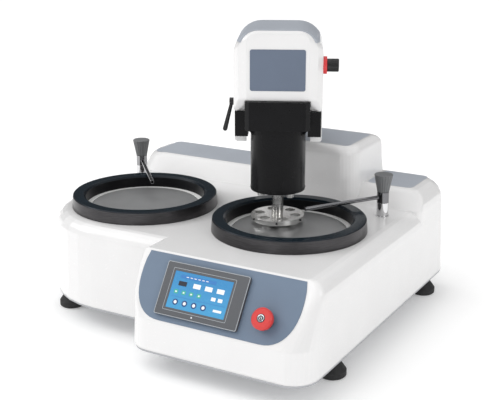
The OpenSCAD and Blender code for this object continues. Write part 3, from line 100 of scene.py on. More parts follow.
class Finish:
    """One material and the nodes that make it."""

    def __init__(self, name):
        self.material = bpy.data.materials.new(name)
        self.material.use_nodes = True
        self.tree = self.material.node_tree
        self.tree.nodes.clear()
        self.place = self.node("ShaderNodeTexCoord", out="Object")

    def node(self, kind, settings=None, sockets=None, out=0):
        made = self.tree.nodes.new(kind)
        for key, value in (settings or {}).items():
            setattr(made, key, value)
        for key, value in (sockets or {}).items():
            if isinstance(value, Value):
                self.tree.links.new(value.socket, made.inputs[key])
            else:
                made.inputs[key].default_value = value
        return Value(self, made.outputs[out])

    def mottle(self, size, stretch=(1, 1, 1), detail=3, rough=0.55):
        """Uneven tone from 0 to 1 whose patches are about size metres across."""
        held = self.node("ShaderNodeMapping", None, {"Vector": self.place, "Scale": stretch})
        return self.node("ShaderNodeTexNoise", None,
                         {"Vector": held, "Scale": 1 / size, "Detail": detail, "Roughness": rough})

    def cut(self, tone, low, high):
        """0 below low, 1 above high, smooth between."""
        return self.node("ShaderNodeMapRange", {"interpolation_type": "SMOOTHSTEP"},
                         {"Value": tone, "From Min": low, "From Max": high})

    def mix(self, share, first, second):
        """A colour between two, each three numbers or a Value."""
        whole = [c if isinstance(c, Value) else (*c, 1) for c in (first, second)]
        return self.node("ShaderNodeMix", {"data_type": "RGBA"},
                         {0: share, 6: whole[0], 7: whole[1]}, 2)

    def from_centre(self, centre):
        """The place as seen from a centre, which is given in metres."""
        return self.node("ShaderNodeMapping", None,
                         {"Vector": self.place, "Location": tuple(-c for c in centre)})

    def rings(self, centre, pitch):
        """Fine rings about an upright axis through centre."""
        turns = self.node("ShaderNodeTexWave",
                          {"wave_type": "RINGS", "rings_direction": "Z", "wave_profile": "SIN"},
                          {"Vector": self.from_centre(centre), "Scale": WAVE_PERIOD / pitch,
                           "Distortion": 0.4, "Detail": 2, "Detail Scale": 1.5})
        return self.cut(turns, 0.1, 0.9)

    def facing(self):
        return self.node("ShaderNodeNewGeometry", out="Normal")

    def edges(self, radius):
        """Where the surface turns within radius metres, from 0 to 1, and the rounded normal."""
        rounded = self.node("ShaderNodeBevel", {"samples": BEVEL_SAMPLES}, {"Radius": radius})
        along = self.node("ShaderNodeVectorMath", {"operation": "DOT_PRODUCT"},
                          {0: rounded, 1: self.facing()}, "Value")
        return self.cut(1 - along, 0.01, 0.12), rounded

    def bump(self, height, depth, normal=None):
        sockets = {"Height": height, "Distance": depth, "Strength": 1.0}
        if normal is not None:
            sockets["Normal"] = normal
        return self.node("ShaderNodeBump", None, sockets)

    def close(self, **sockets):
        """The surface shader; its plain numbers stay on its own sockets."""
        named = {}
        for key, value in sockets.items():
            label = key.replace("_", " ").title().replace("Ior", "IOR")
            if label.endswith("Color") and not isinstance(value, Value):
                value = (*value, 1)
            named[label] = value
        surface = self.node("ShaderNodeBsdfPrincipled", None, named)
        end = self.tree.nodes.new("ShaderNodeOutputMaterial")
        self.tree.links.new(surface.socket, end.inputs["Surface"])
        return self.material


def shade(colour, share):
    return tuple(min(1.0, c * share) for c in colour)


def moulding(name, colour, roughness, peel=0.00002, corner=0.002, coat=0.0, dirt=0.04):
    """Moulded or sprayed plastic: orange peel, faint scuffs, and corners painted lighter as a
    highlight.
    """
    f = Finish(name)
    turn, rounded = f.edges(corner)
    patches = f.mottle(0.09)
    scuffs = f.cut(f.mottle(0.004, (1, 6, 1), 4), 0.62, 0.74)
    tone = f.mix(f.cut(patches, 0.3, 0.7), shade(colour, 1 - dirt), shade(colour, 1 + dirt / 2))
    # Painted highlight: corners and edges are mixed towards a lighter copy of the colour
    tone = f.mix(0.35 * turn, tone, shade(colour, 1.12))
    rough = roughness + 0.05 * patches + 0.12 * scuffs - 0.04 * turn
    skin = f.mottle(0.0022, detail=2) + 0.3 * f.mottle(0.0006, detail=1)
    return f.close(base_color=tone, roughness=rough, normal=f.bump(skin, peel, rounded),
                   coat_weight=coat, coat_roughness=0.08)


def casting(name, colour, roughness, grain=0.00009, worn=(0.2, 0.2, 0.2), sheen=0.5):
    """Black-coated metal: a sprayed grain, rubbed bright along its edges."""
    f = Finish(name)
    turn, rounded = f.edges(0.0012)
    grains = f.mottle(0.0011, detail=2)
    patches = f.mottle(0.05)
    rubbed = turn * f.cut(f.mottle(0.006, detail=4), 0.45, 0.65)
    tone = f.mix(f.cut(patches, 0.3, 0.7), shade(colour, 0.8), shade(colour, 1.25))
    tone = f.mix(0.55 * rubbed, tone, worn)
    rough = roughness + 0.1 * patches - 0.12 * rubbed + 0.05 * grains
    return f.close(base_color=tone, roughness=rough, normal=f.bump(grains, grain, rounded),
                   metallic=0.4 * rubbed, specular_ior_level=sheen)


def turned(name, colour, roughness, centre=(0, 0, 0), pitch=0.0009):
    """Metal off a lathe: fine rings about its axis, a little cloudy from handling."""
    f = Finish(name)
    turn, rounded = f.edges(0.0008)
    turns = f.rings(centre, pitch)
    clouds = f.mottle(0.02)
    smears = f.cut(f.mottle(0.05, (1, 1, 3)), 0.5, 0.75)
    tone = f.mix(0.6 * turns + 0.2 * clouds, shade(colour, 0.88), shade(colour, 1.12))
    # Painted highlight: edges are mixed towards a lighter copy of the metal's colour
    tone = f.mix(0.4 * turn, tone, shade(colour, 1.3))
    rough = roughness + 0.04 * clouds + 0.06 * turns + 0.05 * smears
    return f.close(base_color=tone, roughness=rough, metallic=1.0,
                   normal=f.bump(turns, 0.000012, rounded))


def brushed(name, colour, roughness, stretch=(1, 60, 60), metallic=1.0):
    """Sheet or plate with a grain along one axis."""
    f = Finish(name)
    turn, rounded = f.edges(0.0008)
    grain = f.mottle(0.012, stretch, 4, 0.65)
    clouds = f.mottle(0.06)
    tone = f.mix(grain, shade(colour, 0.82), shade(colour, 1.12))
    # Painted highlight: edges are mixed towards a lighter copy of the plate's colour
    tone = f.mix(0.35 * turn, tone, shade(colour, 1.3))
    return f.close(base_color=tone, roughness=roughness + 0.12 * grain + 0.08 * clouds,
                   metallic=metallic, normal=f.bump(grain, 0.000015, rounded))


def plating(name, colour, roughness):
    """Polished plating with water marks and the faintest unevenness."""
    f = Finish(name)
    turn, rounded = f.edges(0.0006)
    marks = f.cut(f.mottle(0.006, detail=4), 0.58, 0.7)
    waves = f.mottle(0.03, detail=1)
    # Water marks darken the plating as real marks; the edge mask darkens its edges as painted shade
    tone = f.mix(0.35 * marks + 0.3 * turn, colour, shade(colour, 0.8))
    return f.close(base_color=tone, roughness=roughness + 0.1 * marks + 0.03 * waves,
                   metallic=1.0, normal=f.bump(waves, 0.00004, rounded))


def rubbery(name, colour):
    """Dull rubber with a dusty bloom in patches, and edges painted lighter as a highlight."""
    f = Finish(name)
    turn, rounded = f.edges(0.001)
    bloom = f.cut(f.mottle(0.012, detail=5), 0.45, 0.75)
    grain = f.mottle(0.0008, detail=1)
    tone = f.mix(0.3 * bloom, colour, shade(colour, 2.6))
    # Painted highlight: edges are mixed towards a lighter copy of the rubber
    tone = f.mix(0.3 * turn, tone, shade(colour, 1.8))
    return f.close(base_color=tone, roughness=0.62 + 0.12 * bloom - 0.08 * turn,
                   normal=f.bump(grain, 0.00005, rounded))


def splash_ring(name, centre):
    """Dark glossy ring: blue-black on top, black inside, brushed grey-black round its side."""
    f = Finish(name)
    turn, rounded = f.edges(0.002)
    facing = f.facing()
    top = f.cut(f.node("ShaderNodeSeparateXYZ", None, {0: facing}, 2), 0.5, 0.85)
    away = f.node("ShaderNodeVectorMath", {"operation": "NORMALIZE"}, {0: f.from_centre(centre)})
    outward = f.node("ShaderNodeVectorMath", {"operation": "DOT_PRODUCT"},
                     {0: away, 1: facing}, "Value")
    outer = f.cut(outward, 0.0, 0.3) * (1 - top)
    bands = f.mottle(0.02, (1, 1, 22), 4)
    drips = f.cut(f.mottle(0.005, (3, 3, 1), 4), 0.62, 0.75)
    side = f.mix(outer, (0.006, 0.006, 0.007),
                 f.mix(bands, (0.03, 0.029, 0.031), (0.12, 0.116, 0.12)))
    face = f.mix(f.mottle(0.05), (0.003, 0.009, 0.015), (0.005, 0.013, 0.021))
    # Painted highlight: the ring's edges are mixed towards a lighter grey
    tone = f.mix(0.45 * turn, f.mix(top, side, face), (0.08, 0.085, 0.095))
    rough = 0.26 - 0.12 * top + 0.06 * bands + 0.1 * drips
    return f.close(base_color=tone, roughness=rough, metallic=0.9 * outer,
                   specular_ior_level=0.16, normal=f.bump(bands, 0.00002, rounded))


def lapped_disc(name, centre):
    """Lapped platen face: close rings, long scratches both ways and a paler worn band."""
    f = Finish(name)
    turn, rounded = f.edges(0.001)
    turns = f.rings(centre, 0.0011)
    reach = f.node("ShaderNodeVectorMath", {"operation": "LENGTH"},
                   {0: f.from_centre(centre)}, "Value")
    worn = f.cut(reach, 0.03, 0.06) * (1 - f.cut(reach, 0.08, 0.105))
    scratches = f.cut(f.mottle(0.003, (1, 14, 1), 5), 0.6, 0.7)
    crossing = f.cut(f.mottle(0.003, (12, 1, 1), 5), 0.62, 0.72)
    clouds = f.mottle(0.035, detail=5)
    tone = f.mix(0.4 * turns + 0.5 * clouds, (0.33, 0.335, 0.34), (0.48, 0.485, 0.49))
    # The worn band and scratches are real wear; the edge mask adds a painted highlight along the
    # edges
    tone = f.mix(0.3 * worn + 0.2 * scratches + 0.2 * turn, tone, (0.56, 0.565, 0.57))
    rough = 0.34 + 0.1 * turns + 0.08 * clouds - 0.05 * worn + 0.1 * crossing
    relief = turns + 0.5 * scratches + 0.5 * crossing
    return f.close(base_color=tone, roughness=rough, metallic=0.85,
                   normal=f.bump(relief, 0.00001, rounded))


def liquid_crystal():
    """Lit display behind glass: sky blue, deeper towards its top, with a fine dot grid."""
    f = Finish("liquid_crystal")
    height = f.node("ShaderNodeSeparateXYZ", None, {0: f.place}, 2)
    high = f.cut(height, 0.132, 0.189)
    dots = f.mottle(0.0009, detail=0)
    tone = f.mix(high, (0.055, 0.3, 0.56), (0.035, 0.22, 0.48))
    tone = f.mix(0.25 * dots, tone, (0.1, 0.38, 0.64))
    smears = f.cut(f.mottle(0.018, (1, 2, 1), 4), 0.5, 0.7)
    return f.close(base_color=tone, roughness=0.22 + 0.16 * smears, specular_ior_level=0.3,
                   emission_color=tone, emission_strength=0.1)


def ink(name, colour, roughness=0.4, glow=0.0):
    """A printed or lit patch, a little uneven like ink on foil."""
    f = Finish(name)
    specks = f.mottle(0.0007, detail=1)
    clouds = f.mottle(0.01)
    tone = f.mix(0.5 * specks + 0.3 * clouds, shade(colour, 0.88), shade(colour, 1.08))
    return f.close(base_color=tone, roughness=roughness + 0.1 * clouds, emission_color=tone,
                   emission_strength=glow, normal=f.bump(specks, 0.00001))


def water_tube():
    """Clear soft tube, milky where it is worked."""
    f = Finish("water_tube")
    haze = f.mottle(0.01, detail=4)
    tone = f.mix(haze, (0.62, 0.68, 0.7), (0.8, 0.84, 0.85))
    return f.close(base_color=tone, roughness=0.25 + 0.2 * haze, transmission_weight=0.35,
                   ior=1.45, normal=f.bump(haze, 0.00005))


def paper_floor():
    """Pale paper sweep that keeps the machine's shadow."""
    f = Finish("paper_floor")
    fibres = f.mottle(0.0025, detail=3)
    tone = f.mix(fibres, (0.93, 0.93, 0.93), (0.96, 0.96, 0.96))
    return f.close(base_color=tone, roughness=0.9 + 0.05 * fibres,
                   normal=f.bump(fibres, 0.00002),
                   emission_color=(1, 1, 1), emission_strength=0.16)


FINISHES = {
    "shell_white": moulding("shell_white_gloss", (0.82, 0.815, 0.815), 0.22,
                            peel=0.000018, corner=0.004, coat=0.35, dirt=0.015),
    "inlay_grey": moulding("inlay_blue_grey", (0.41, 0.44, 0.49), 0.38, 0.00004, 0.0012),
    "fascia_blue": moulding("fascia_slate_blue", (0.15, 0.205, 0.285), 0.42, 0.00004, 0.0008),
    "bezel_grey": brushed("bezel_dark_grey", (0.105, 0.11, 0.12), 0.36, (1, 30, 30), 0.2),
    "screen": liquid_crystal(),
    "stop_red": moulding("stop_red", (0.68, 0.045, 0.042), 0.36, 0.00003, 0.0015),
    "ring_black": splash_ring("splash_ring_left", spot(LEFT_DISC, RING_MIDDLE)),
    "bowl_white": moulding("bowl_white", (0.74, 0.74, 0.73), 0.35, 0.00003, 0.002),
    "disc_metal": lapped_disc("lapped_left", spot(LEFT_DISC, DISC_TOP)),
    "aluminium": turned("holder_aluminium", (0.86, 0.85, 0.83), 0.16, spot(HEAD_AXIS), 0.0012),
    "steel": turned("ground_steel", (0.66, 0.655, 0.65), 0.22, spot(HEAD_AXIS), 0.0014),
    "chrome": plating("chrome", (0.72, 0.72, 0.73), 0.06),
    "plate": brushed("plate_zinc", (0.5, 0.51, 0.53), 0.4),
    "cast": casting("housing_cast", (0.22, 0.225, 0.23), 0.6, 0.00016),
    "motor_black": casting("motor_black", (0.03, 0.031, 0.034), 0.5),
    "black_metal": casting("head_black", (0.004, 0.004, 0.0048), 0.18,
                           grain=0.00003, worn=(0.07, 0.07, 0.075), sheen=0.15),
    "black_plastic": moulding("grip_black", (0.01, 0.01, 0.011), 0.36, 0.00005, 0.001),
    "knob_grey": moulding("tap_knob_grey", (0.16, 0.165, 0.17), 0.4, 0.00004, 0.0008),
    "label_grey": moulding("label_slate", (0.13, 0.165, 0.23), 0.4, 0.00003, 0.0008),
    "rubber": rubbery("foot_rubber", (0.016, 0.016, 0.017)),
    "ring_red": moulding("regulator_red", (0.7, 0.045, 0.05), 0.36, 0.00004, 0.001),
    "brass": turned("brass", (0.78, 0.56, 0.28), 0.26, pitch=0.0012),
    "tube": water_tube(),
}
FINISHES_BY_NODE = {
    "right_ring": splash_ring("splash_ring_right", spot(RIGHT_DISC, RING_MIDDLE)),
    # Painted reflection: both spouts' chrome is darkened to stand for the dark ring they reflect,
    # the right one more
    "left_spout": plating("spout_chrome_painted_dark_left", (0.34, 0.34, 0.35), 0.08),
    "right_spout": plating("spout_chrome_painted_dark_right", (0.2, 0.2, 0.21), 0.08),
    "right_disc": lapped_disc("lapped_right", spot(RIGHT_DISC, DISC_TOP)),
    "left_turntable": turned("turntable_left", (0.62, 0.62, 0.63), 0.3, spot(LEFT_DISC)),
    "right_turntable": turned("turntable_right", (0.62, 0.62, 0.63), 0.3, spot(RIGHT_DISC)),
}
INK_WHITE = ink("ink_white", (0.82, 0.84, 0.86), 0.35, 0.15)
# Dark print on the screen, and on the stop insert also painted shade for the gap round it
DARK_INK_AND_GAP_SHADE = ink("dark_ink_and_gap_shade", (0.01, 0.015, 0.03), 0.3)
INK_NAVY = ink("ink_navy", (0.012, 0.06, 0.2), 0.3, 0.1)
INK_DEEP = ink("ink_deep_blue", (0.03, 0.19, 0.5), 0.35, 0.1)
INK_GREEN = ink("ink_green", (0.05, 0.42, 0.3), 0.35, 0.1)
# Pale grey for the display's frame line, and as a painted highlight for the housing's rim
LINE_AND_HIGHLIGHT_GREY = ink("line_and_highlight_grey", (0.42, 0.45, 0.48), 0.32)
SCREW_ZINC = turned("screw_zinc", (0.6, 0.61, 0.62), 0.3)
SCREW_BLACK = casting("screw_black", (0.02, 0.02, 0.022), 0.4)
LIP_WHITE = moulding("lip_white", (0.93, 0.93, 0.92), 0.3, 0.00002, 0.001)
SILVER = plating("insert_silver", (0.7, 0.71, 0.73), 0.12)


def dress_frame():
    """Every carried-over node gets its own finish, or the one of its slot."""
    for name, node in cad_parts.items():
        for place in node.material_slots:
            slot = place.material.name.split(".")[0]
            place.material = FINISHES_BY_NODE.get(name, FINISHES[slot])


# Shapes that repeat

class Tree:
    """A geometry tree with named inputs."""

    def __init__(self, name, inputs):
        self.group = bpy.data.node_groups.new(name, "GeometryNodeTree")
        self.keys = {}
        for label, kind in inputs.items():
            made = self.group.interface.new_socket(label, in_out="INPUT", socket_type=kind)
            self.keys[label] = made.identifier
        self.group.interface.new_socket("Geometry", in_out="OUTPUT",
                                        socket_type="NodeSocketGeometry")
        self.start = self.group.nodes.new("NodeGroupInput")
        self.end = self.group.nodes.new("NodeGroupOutput")

    def given(self, label):
        return self.start.outputs[label]

    def node(self, kind, settings=None, sockets=None, out=0):
        made = self.group.nodes.new(kind)
        for key, value in (settings or {}).items():
            setattr(made, key, value)
        for key, value in (sockets or {}).items():
            if isinstance(value, bpy.types.NodeSocket):
                self.group.links.new(value, made.inputs[key])
            else:
                made.inputs[key].default_value = value
        return made.outputs[out]

    def sum(self, operation, first, second):
        return self.node("ShaderNodeMath", {"operation": operation}, {0: first, 1: second})

    def vector(self, x=0.0, z=0.0):
        return self.node("ShaderNodeCombineXYZ", None, {0: x, 2: z})

    def finish(self, geometry):
        """Instances made real, then the material."""
        real = self.node("GeometryNodeRealizeInstances", None, {0: geometry})
        dressed = self.node("GeometryNodeSetMaterial", None,
                            {"Geometry": real, "Material": self.given("Finish")})
        self.group.links.new(dressed, self.end.inputs[0])

    def grow(self, mesh=None, **values):
        """The tree's mesh for these values, as a plain mesh of its own."""
        holder = bpy.data.objects.new("holder", mesh or bpy.data.meshes.new("seed"))
        bpy.context.scene.collection.objects.link(holder)
        work = holder.modifiers.new("grow", "NODES")
        work.node_group = self.group
        for label, value in values.items():
            work[self.keys[label]] = value
        seen = holder.evaluated_get(bpy.context.evaluated_depsgraph_get())
        grown = bpy.data.meshes.new_from_object(seen)
        holder.modifiers.remove(work)
        bpy.data.objects.remove(holder)
        return grown


def tree_bar_row():
    """Bars in a row, as louvres, slots or screen tiles: their count, pitch and size."""
    t = Tree("bar_row", {"Count": "NodeSocketInt", "Pitch": "NodeSocketFloat",
                         "Width": "NodeSocketFloat", "Height": "NodeSocketFloat",
                         "Corner": "NodeSocketFloat", "Depth": "NodeSocketFloat",
                         "Finish": "NodeSocketMaterial"})
    gaps = t.sum("SUBTRACT", t.given("Count"), 1.0)
    first = t.sum("MULTIPLY", gaps, t.sum("MULTIPLY", t.given("Pitch"), -0.5))
    row = t.node("GeometryNodeMeshLine", {"mode": "OFFSET"},
                 {"Count": t.given("Count"), "Start Location": t.vector(first),
                  "Offset": t.vector(t.given("Pitch"))})
    outline = t.node("GeometryNodeCurvePrimitiveQuadrilateral", None,
                     {"Width": t.given("Width"), "Height": t.given("Height")})
    rounded = t.node("GeometryNodeFilletCurve", {"mode": "POLY"},
                     {"Curve": outline, "Count": BAR_CORNER_STEPS, "Radius": t.given("Corner")})
    face = t.node("GeometryNodeFillCurve", {"mode": "NGONS"}, {"Curve": rounded})
    turned_over = t.node("GeometryNodeFlipFaces", None, {"Mesh": face})
    raised = t.node("GeometryNodeExtrudeMesh", None,
                    {"Mesh": face, "Offset": t.vector(z=1.0), "Offset Scale": t.given("Depth"),
                     "Individual": False})
    whole = t.group.nodes.new("GeometryNodeJoinGeometry")
    t.group.links.new(turned_over, whole.inputs[0])
    t.group.links.new(raised, whole.inputs[0])
    sealed = t.node("GeometryNodeMergeByDistance", None,
                    {"Geometry": whole.outputs[0], "Distance": WELD})
    t.finish(t.node("GeometryNodeInstanceOnPoints", None, {"Points": row, "Instance": sealed}))
    return t


def tree_screw_set():
    """Screw heads at given points, each with a round recess."""
    upright, well_share = 0.9, 0.55
    t = Tree("screw_set", {"Geometry": "NodeSocketGeometry", "Head": "NodeSocketFloat",
                           "Rise": "NodeSocketFloat", "Recess": "NodeSocketFloat",
                           "Finish": "NodeSocketMaterial"})
    body = t.node("GeometryNodeMeshCylinder", {"fill_type": "NGON"},
                  {"Vertices": SCREW_SIDES, "Radius": t.given("Head"), "Depth": t.given("Rise")},
                  "Mesh")
    half = t.sum("MULTIPLY", t.given("Rise"), 0.5)
    lifted = t.node("GeometryNodeTransform", None,
                    {"Geometry": body, "Translation": t.vector(z=half)})
    facing = t.node("ShaderNodeSeparateXYZ", None, {0: t.node("GeometryNodeInputNormal")}, 2)
    upward = t.node("FunctionNodeCompare", {"data_type": "FLOAT", "operation": "GREATER_THAN"},
                    {0: facing, 1: upright})
    rim = t.group.nodes.new("GeometryNodeExtrudeMesh")
    t.group.links.new(lifted, rim.inputs["Mesh"])
    t.group.links.new(upward, rim.inputs["Selection"])
    rim.inputs["Offset Scale"].default_value = 0.0
    shrunk = t.node("GeometryNodeScaleElements", None,
                    {"Geometry": rim.outputs["Mesh"], "Selection": rim.outputs["Top"],
                     "Scale": t.given("Recess")})
    well = t.node("GeometryNodeExtrudeMesh", None,
                  {"Mesh": shrunk, "Selection": rim.outputs["Top"], "Offset": t.vector(z=-1.0),
                   "Offset Scale": t.sum("MULTIPLY", t.given("Rise"), well_share)})
    t.finish(t.node("GeometryNodeInstanceOnPoints", None,
                    {"Points": t.given("Geometry"), "Instance": well}))
    return t


BARS, SCREWS = tree_bar_row(), tree_screw_set()


def bars(count, pitch, width, height, corner, depth, finish):
    return BARS.grow(Count=count, Pitch=pitch, Width=width, Height=height, Corner=corner,
                     Depth=depth, Finish=finish)


def screws(points, head, rise, finish, recess=0.55):
    """Screw heads that stand on flat points, all in millimetres."""
    seeds = bpy.data.meshes.new("points")
    seeds.from_pydata([(x, y, 0) for x, y in points], [], [])
    return SCREWS.grow(seeds, Head=head, Rise=rise, Recess=recess, Finish=finish)


def round_points(count, radius, start=0.0):
    turns = [math.radians(start + 360 * k / count) for k in range(count)]
    return [(radius * math.cos(turn), radius * math.sin(turn)) for turn in turns]


def lathe(profile, steps=48):
    """A closed profile of (radius, height) turned about z."""
    mesh = bpy.data.meshes.new("lathe")
    work = bmesh.new()
    loops = []
    for radius, height in profile:
        around = round_points(steps, radius) if radius else [(0, 0)]
        loops.append([work.verts.new((x, y, height)) for x, y in around])
    for first, second in zip(loops, loops[1:] + loops[:1]):
        for k in range(steps):
            after = (k + 1) % steps
            corners = [first[k % len(first)], first[after % len(first)],
                       second[after % len(second)], second[k % len(second)]]
            distinct = list(dict.fromkeys(corners))
            if len(distinct) > 2:
                work.faces.new(distinct)
    bmesh.ops.recalc_face_normals(work, faces=work.faces)
    for face in work.faces:
        face.smooth = True
    work.to_mesh(mesh)
    work.free()
    mesh.set_sharp_from_angle(angle=SMOOTH_BELOW)
    return mesh


def rounded_outline(width, height, corner):
    points = []
    for quarter, (sx, sy) in enumerate(((1, 1), (-1, 1), (-1, -1), (1, -1))):
        for k in range(CORNER_STEPS + 1):
            turn = math.radians(90 * quarter + 90 * k / CORNER_STEPS)
            points.append((sx * (width / 2 - corner) + corner * math.cos(turn),
                           sy * (height / 2 - corner) + corner * math.sin(turn)))
    return points


def border(outer, inner, thick):
    """A flat frame between two rounded outlines, each of width, height and corner."""
    mesh = bpy.data.meshes.new("border")
    work = bmesh.new()
    loops = [[work.verts.new((x, y, z)) for x, y in rounded_outline(*outline)]
             for outline, z in ((outer, 0), (outer, thick), (inner, thick), (inner, 0))]
    for first, second in zip(loops, loops[1:] + loops[:1]):
        for k in range(len(first)):
            after = (k + 1) % len(first)
            work.faces.new((first[k], first[after], second[after], second[k]))
    bmesh.ops.recalc_face_normals(work, faces=work.faces)
    work.to_mesh(mesh)
    work.free()
    return mesh


# Pieces

def turned_place(at, across, upward, out):
    """Matrix from millimetres on a face to metres in the frame: z stands out of the face."""
    turn = Matrix((across, upward, out)).transposed().to_4x4()
    return Matrix.Translation(at * MM) @ turn @ Matrix.Scale(MM, 4)


def console_place(x, up, out):
    at = KNEE + Vector((x, 0, 0)) + CONSOLE_UP * up + CONSOLE_OUT * out
    return turned_place(at, Vector((1, 0, 0)), CONSOLE_UP, CONSOLE_OUT)


def axis_place(at, out, across):
    out, across = out.normalized(), across.normalized()
    return turned_place(at, across, out.cross(across), out)


def level_place(at):
    """Matrix for a piece that lies level with its middle at a point."""
    return Matrix.Translation(at * MM) @ Matrix.Scale(MM, 4)


def placed(mesh, place):
    mesh.transform(place)
    return mesh


def joined(meshes):
    """Several meshes as one, which gets its finish with its piece."""
    mesh = bpy.data.meshes.new("joined")
    work = bmesh.new()
    for part in meshes:
        work.from_mesh(part)
    work.to_mesh(mesh)
    work.free()
    return mesh


def piece(name, mesh, body, finish=None):
    """A mesh becomes an object that rides its body; without a finish it keeps its own."""
    made = bpy.data.objects.new(name, mesh)
    bpy.context.scene.collection.objects.link(made)
    if finish:
        mesh.materials.clear()
        mesh.materials.append(finish)
    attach(made, body)


def display_page():
    """What the screen shows, as generic tiles: bars, value boxes, small icons and round keys."""
    lying, raised = 0.14, 0.2
    # Name, (count, pitch, width, height, corner), place from the display's middle, ink, height
    rows = (
        ("page_title", (1, 0, 74, 6.4, 0.8), (-10.0, 25.4), INK_DEEP, 0.12),
        ("page_title_marks", (6, 8.2, 5.0, 1.3, 0.3), (-12.0, 25.4), INK_WHITE, raised),
        ("page_dark_box", (1, 0, 17, 8.4, 0.5), (-39.0, 12.5), DARK_INK_AND_GAP_SHADE, lying),
        ("page_value_boxes", (3, 24.5, 15, 8.4, 0.5), (15.5, 12.5), INK_WHITE, lying),
        ("page_icon_tiles", (4, 16, 8.2, 7.2, 1.2), (-24.0, -3.2), INK_GREEN, lying),
        ("page_icon_marks", (4, 16, 3.4, 2.6, 0.5), (-24.0, -3.2), INK_WHITE, raised),
        ("page_side_boxes", (2, 14, 9.0, 6.4, 0.5), (37.0, -3.2), INK_WHITE, lying),
        ("page_foot_bar", (1, 0, 17, 4.4, 0.6), (44.0, -22.5), INK_WHITE, lying),
        ("page_foot_line", (1, 0, 113, 0.7, 0.2), (0.0, -12.2), INK_DEEP, 0.12),
    )
    for name, sizes, (x, up), finish, height in rows:
        place = console_place(DISPLAY_X + x, DISPLAY_UP + up, GLASS_FACE)
        piece(name, placed(bars(*sizes, height, finish), place), "base")
    first_key, key_pitch, key_row = -43.5, 19.5, -21.8
    keys, dots = [], []
    for k in range(4):
        place = console_place(DISPLAY_X + first_key + key_pitch * k, DISPLAY_UP + key_row,
                              GLASS_FACE)
        keys.append(placed(lathe([(0, 0), (5.6, 0), (5.6, 0.14), (0, 0.14)], 28), place))
        dots.append(placed(lathe([(0, 0), (3.1, 0), (3.1, 0.22), (0, 0.22)], 20), place))
    piece("page_round_keys", joined(keys), "base", INK_NAVY)
    piece("page_key_centres", joined(dots), "base", INK_WHITE)


def screen_trim():
    """The fine pale line round the display, a pale rim round its housing that is a painted
    highlight on its bevel, and its lamp.
    """
    line = border((131, 78, 2.0), (129.4, 76.4, 1.6), 0.3)
    piece("display_line", placed(line, console_place(DISPLAY_X, DISPLAY_UP, 6.95)),
          "base", LINE_AND_HIGHLIGHT_GREY)
    # Painted highlight: the pale rim stands for light caught on the housing's bevel edge
    rim = border((170.4, 98.4, 3.2), (168.2, 96.2, 2.6), 0.5)
    piece("housing_highlight_rim", placed(rim, console_place(HOUSING_X, DISPLAY_UP, HOUSING_FACE)),
          "base", LINE_AND_HIGHLIGHT_GREY)
    lamp = lathe([(0, 0), (1.5, 0), (1.4, 0.5), (0.8, 0.8), (0, 0.9)], 20)
    piece("display_lamp", placed(lamp, console_place(126, 20.2, 6.9)),
          "base", INK_WHITE)


def stop_insert():
    """Dark twist insert in the stop button's face, with a thin silver ring and slot bars; the dark
    core's rim outside the ring is painted shade for the gap round the insert.
    """
    place = console_place(STOP_X, STOP_UP, STOP_FACE)
    # The core is the insert's own dark colour in its middle, and painted shade for the gap at its
    # rim
    core = lathe([(0, 0), (7.6, 0), (7.6, 0.25), (7.2, 0.5), (0, 0.5)], 36)
    piece("stop_insert_core", placed(core, place), "stop_push", DARK_INK_AND_GAP_SHADE)
    ring = lathe([(4.7, 0.3), (6.3, 0.3), (6.4, 0.7), (5.9, 1.0), (5.0, 1.0), (4.6, 0.7)], 36)
    piece("stop_insert_ring", placed(ring, place), "stop_push", SILVER)
    mark = bars(2, 3.0, 1.2, 5.2, 0.5, 0.95, SILVER)
    piece("stop_insert_bars", placed(mark, place), "stop_push")


def rear_service_panel():
    """Screws along the service panel's long edges, and its raised louvres."""
    panel = axis_place(Vector((PANEL_X, PANEL_REAR, PANEL_HEIGHT)), REARWARD, TO_THE_LEFT)
    corners = [(x, z) for x in (-197, -70, 70, 197) for z in (-34, 34)]
    piece("panel_screws", placed(screws(corners, 3.2, 1.8, SCREW_ZINC), panel), "base")
    louvres = bars(13, 9.5, 4.6, 44, 2.2, 1.6, FINISHES["plate"])
    place = axis_place(Vector((LOUVRES_X, PANEL_REAR, PANEL_HEIGHT)), REARWARD, TO_THE_LEFT)
    piece("panel_louvres", placed(louvres, place), "base")


def block_screws():
    """Cap screws under the two wings of the head block."""
    sideways, ahead = 44, 40
    heads = []
    for x in (-sideways, sideways):
        at = HEAD_AXIS + HEAD_RIGHT * x + HEAD_AHEAD * ahead + UP * BLOCK_UNDERSIDE
        heads.append(placed(screws([(0, 0)], 3.6, 2.6, SCREW_BLACK),
                            axis_place(at, DOWN, HEAD_RIGHT)))
    piece("block_screws", joined(heads), "head", SCREW_BLACK)


def cylinder_foot():
    """Retaining band near the press cylinder's lower end, and the screws under it."""
    foot = HEAD_AXIS + UP * CYLINDER_FOOT
    heads = screws(round_points(6, 47, 15), 2.4, 1.4, SCREW_ZINC)
    piece("cylinder_foot_screws", placed(heads, axis_place(foot, DOWN, HEAD_RIGHT)),
          "quill")
    band = lathe([(53.2, 0), (53.9, 0.5), (53.9, 2.0), (53.2, 2.5)], 96)
    place = axis_place(foot, UP, HEAD_RIGHT) @ Matrix.Translation((0, 0, 3))
    piece("cylinder_foot_band", placed(band, place), "quill",
          FINISHES["black_metal"])


def holder_screws():
    """Radial clamp screws, one between each two of the holder's six places."""
    heads = []
    for k in range(6):
        turn = math.radians(60 * k + 30)
        out = HEAD_RIGHT * math.cos(turn) - HEAD_AHEAD * math.sin(turn)
        at = HEAD_AXIS + out * HOLDER_RADIUS + UP * HOLDER_MIDDLE
        heads.append(placed(screws([(0, 0)], 2.1, 1.6, SCREW_BLACK, recess=0.5),
                            axis_place(at, out, UP)))
    piece("holder_clamp_screws", joined(heads), "sample_drive", SCREW_BLACK)


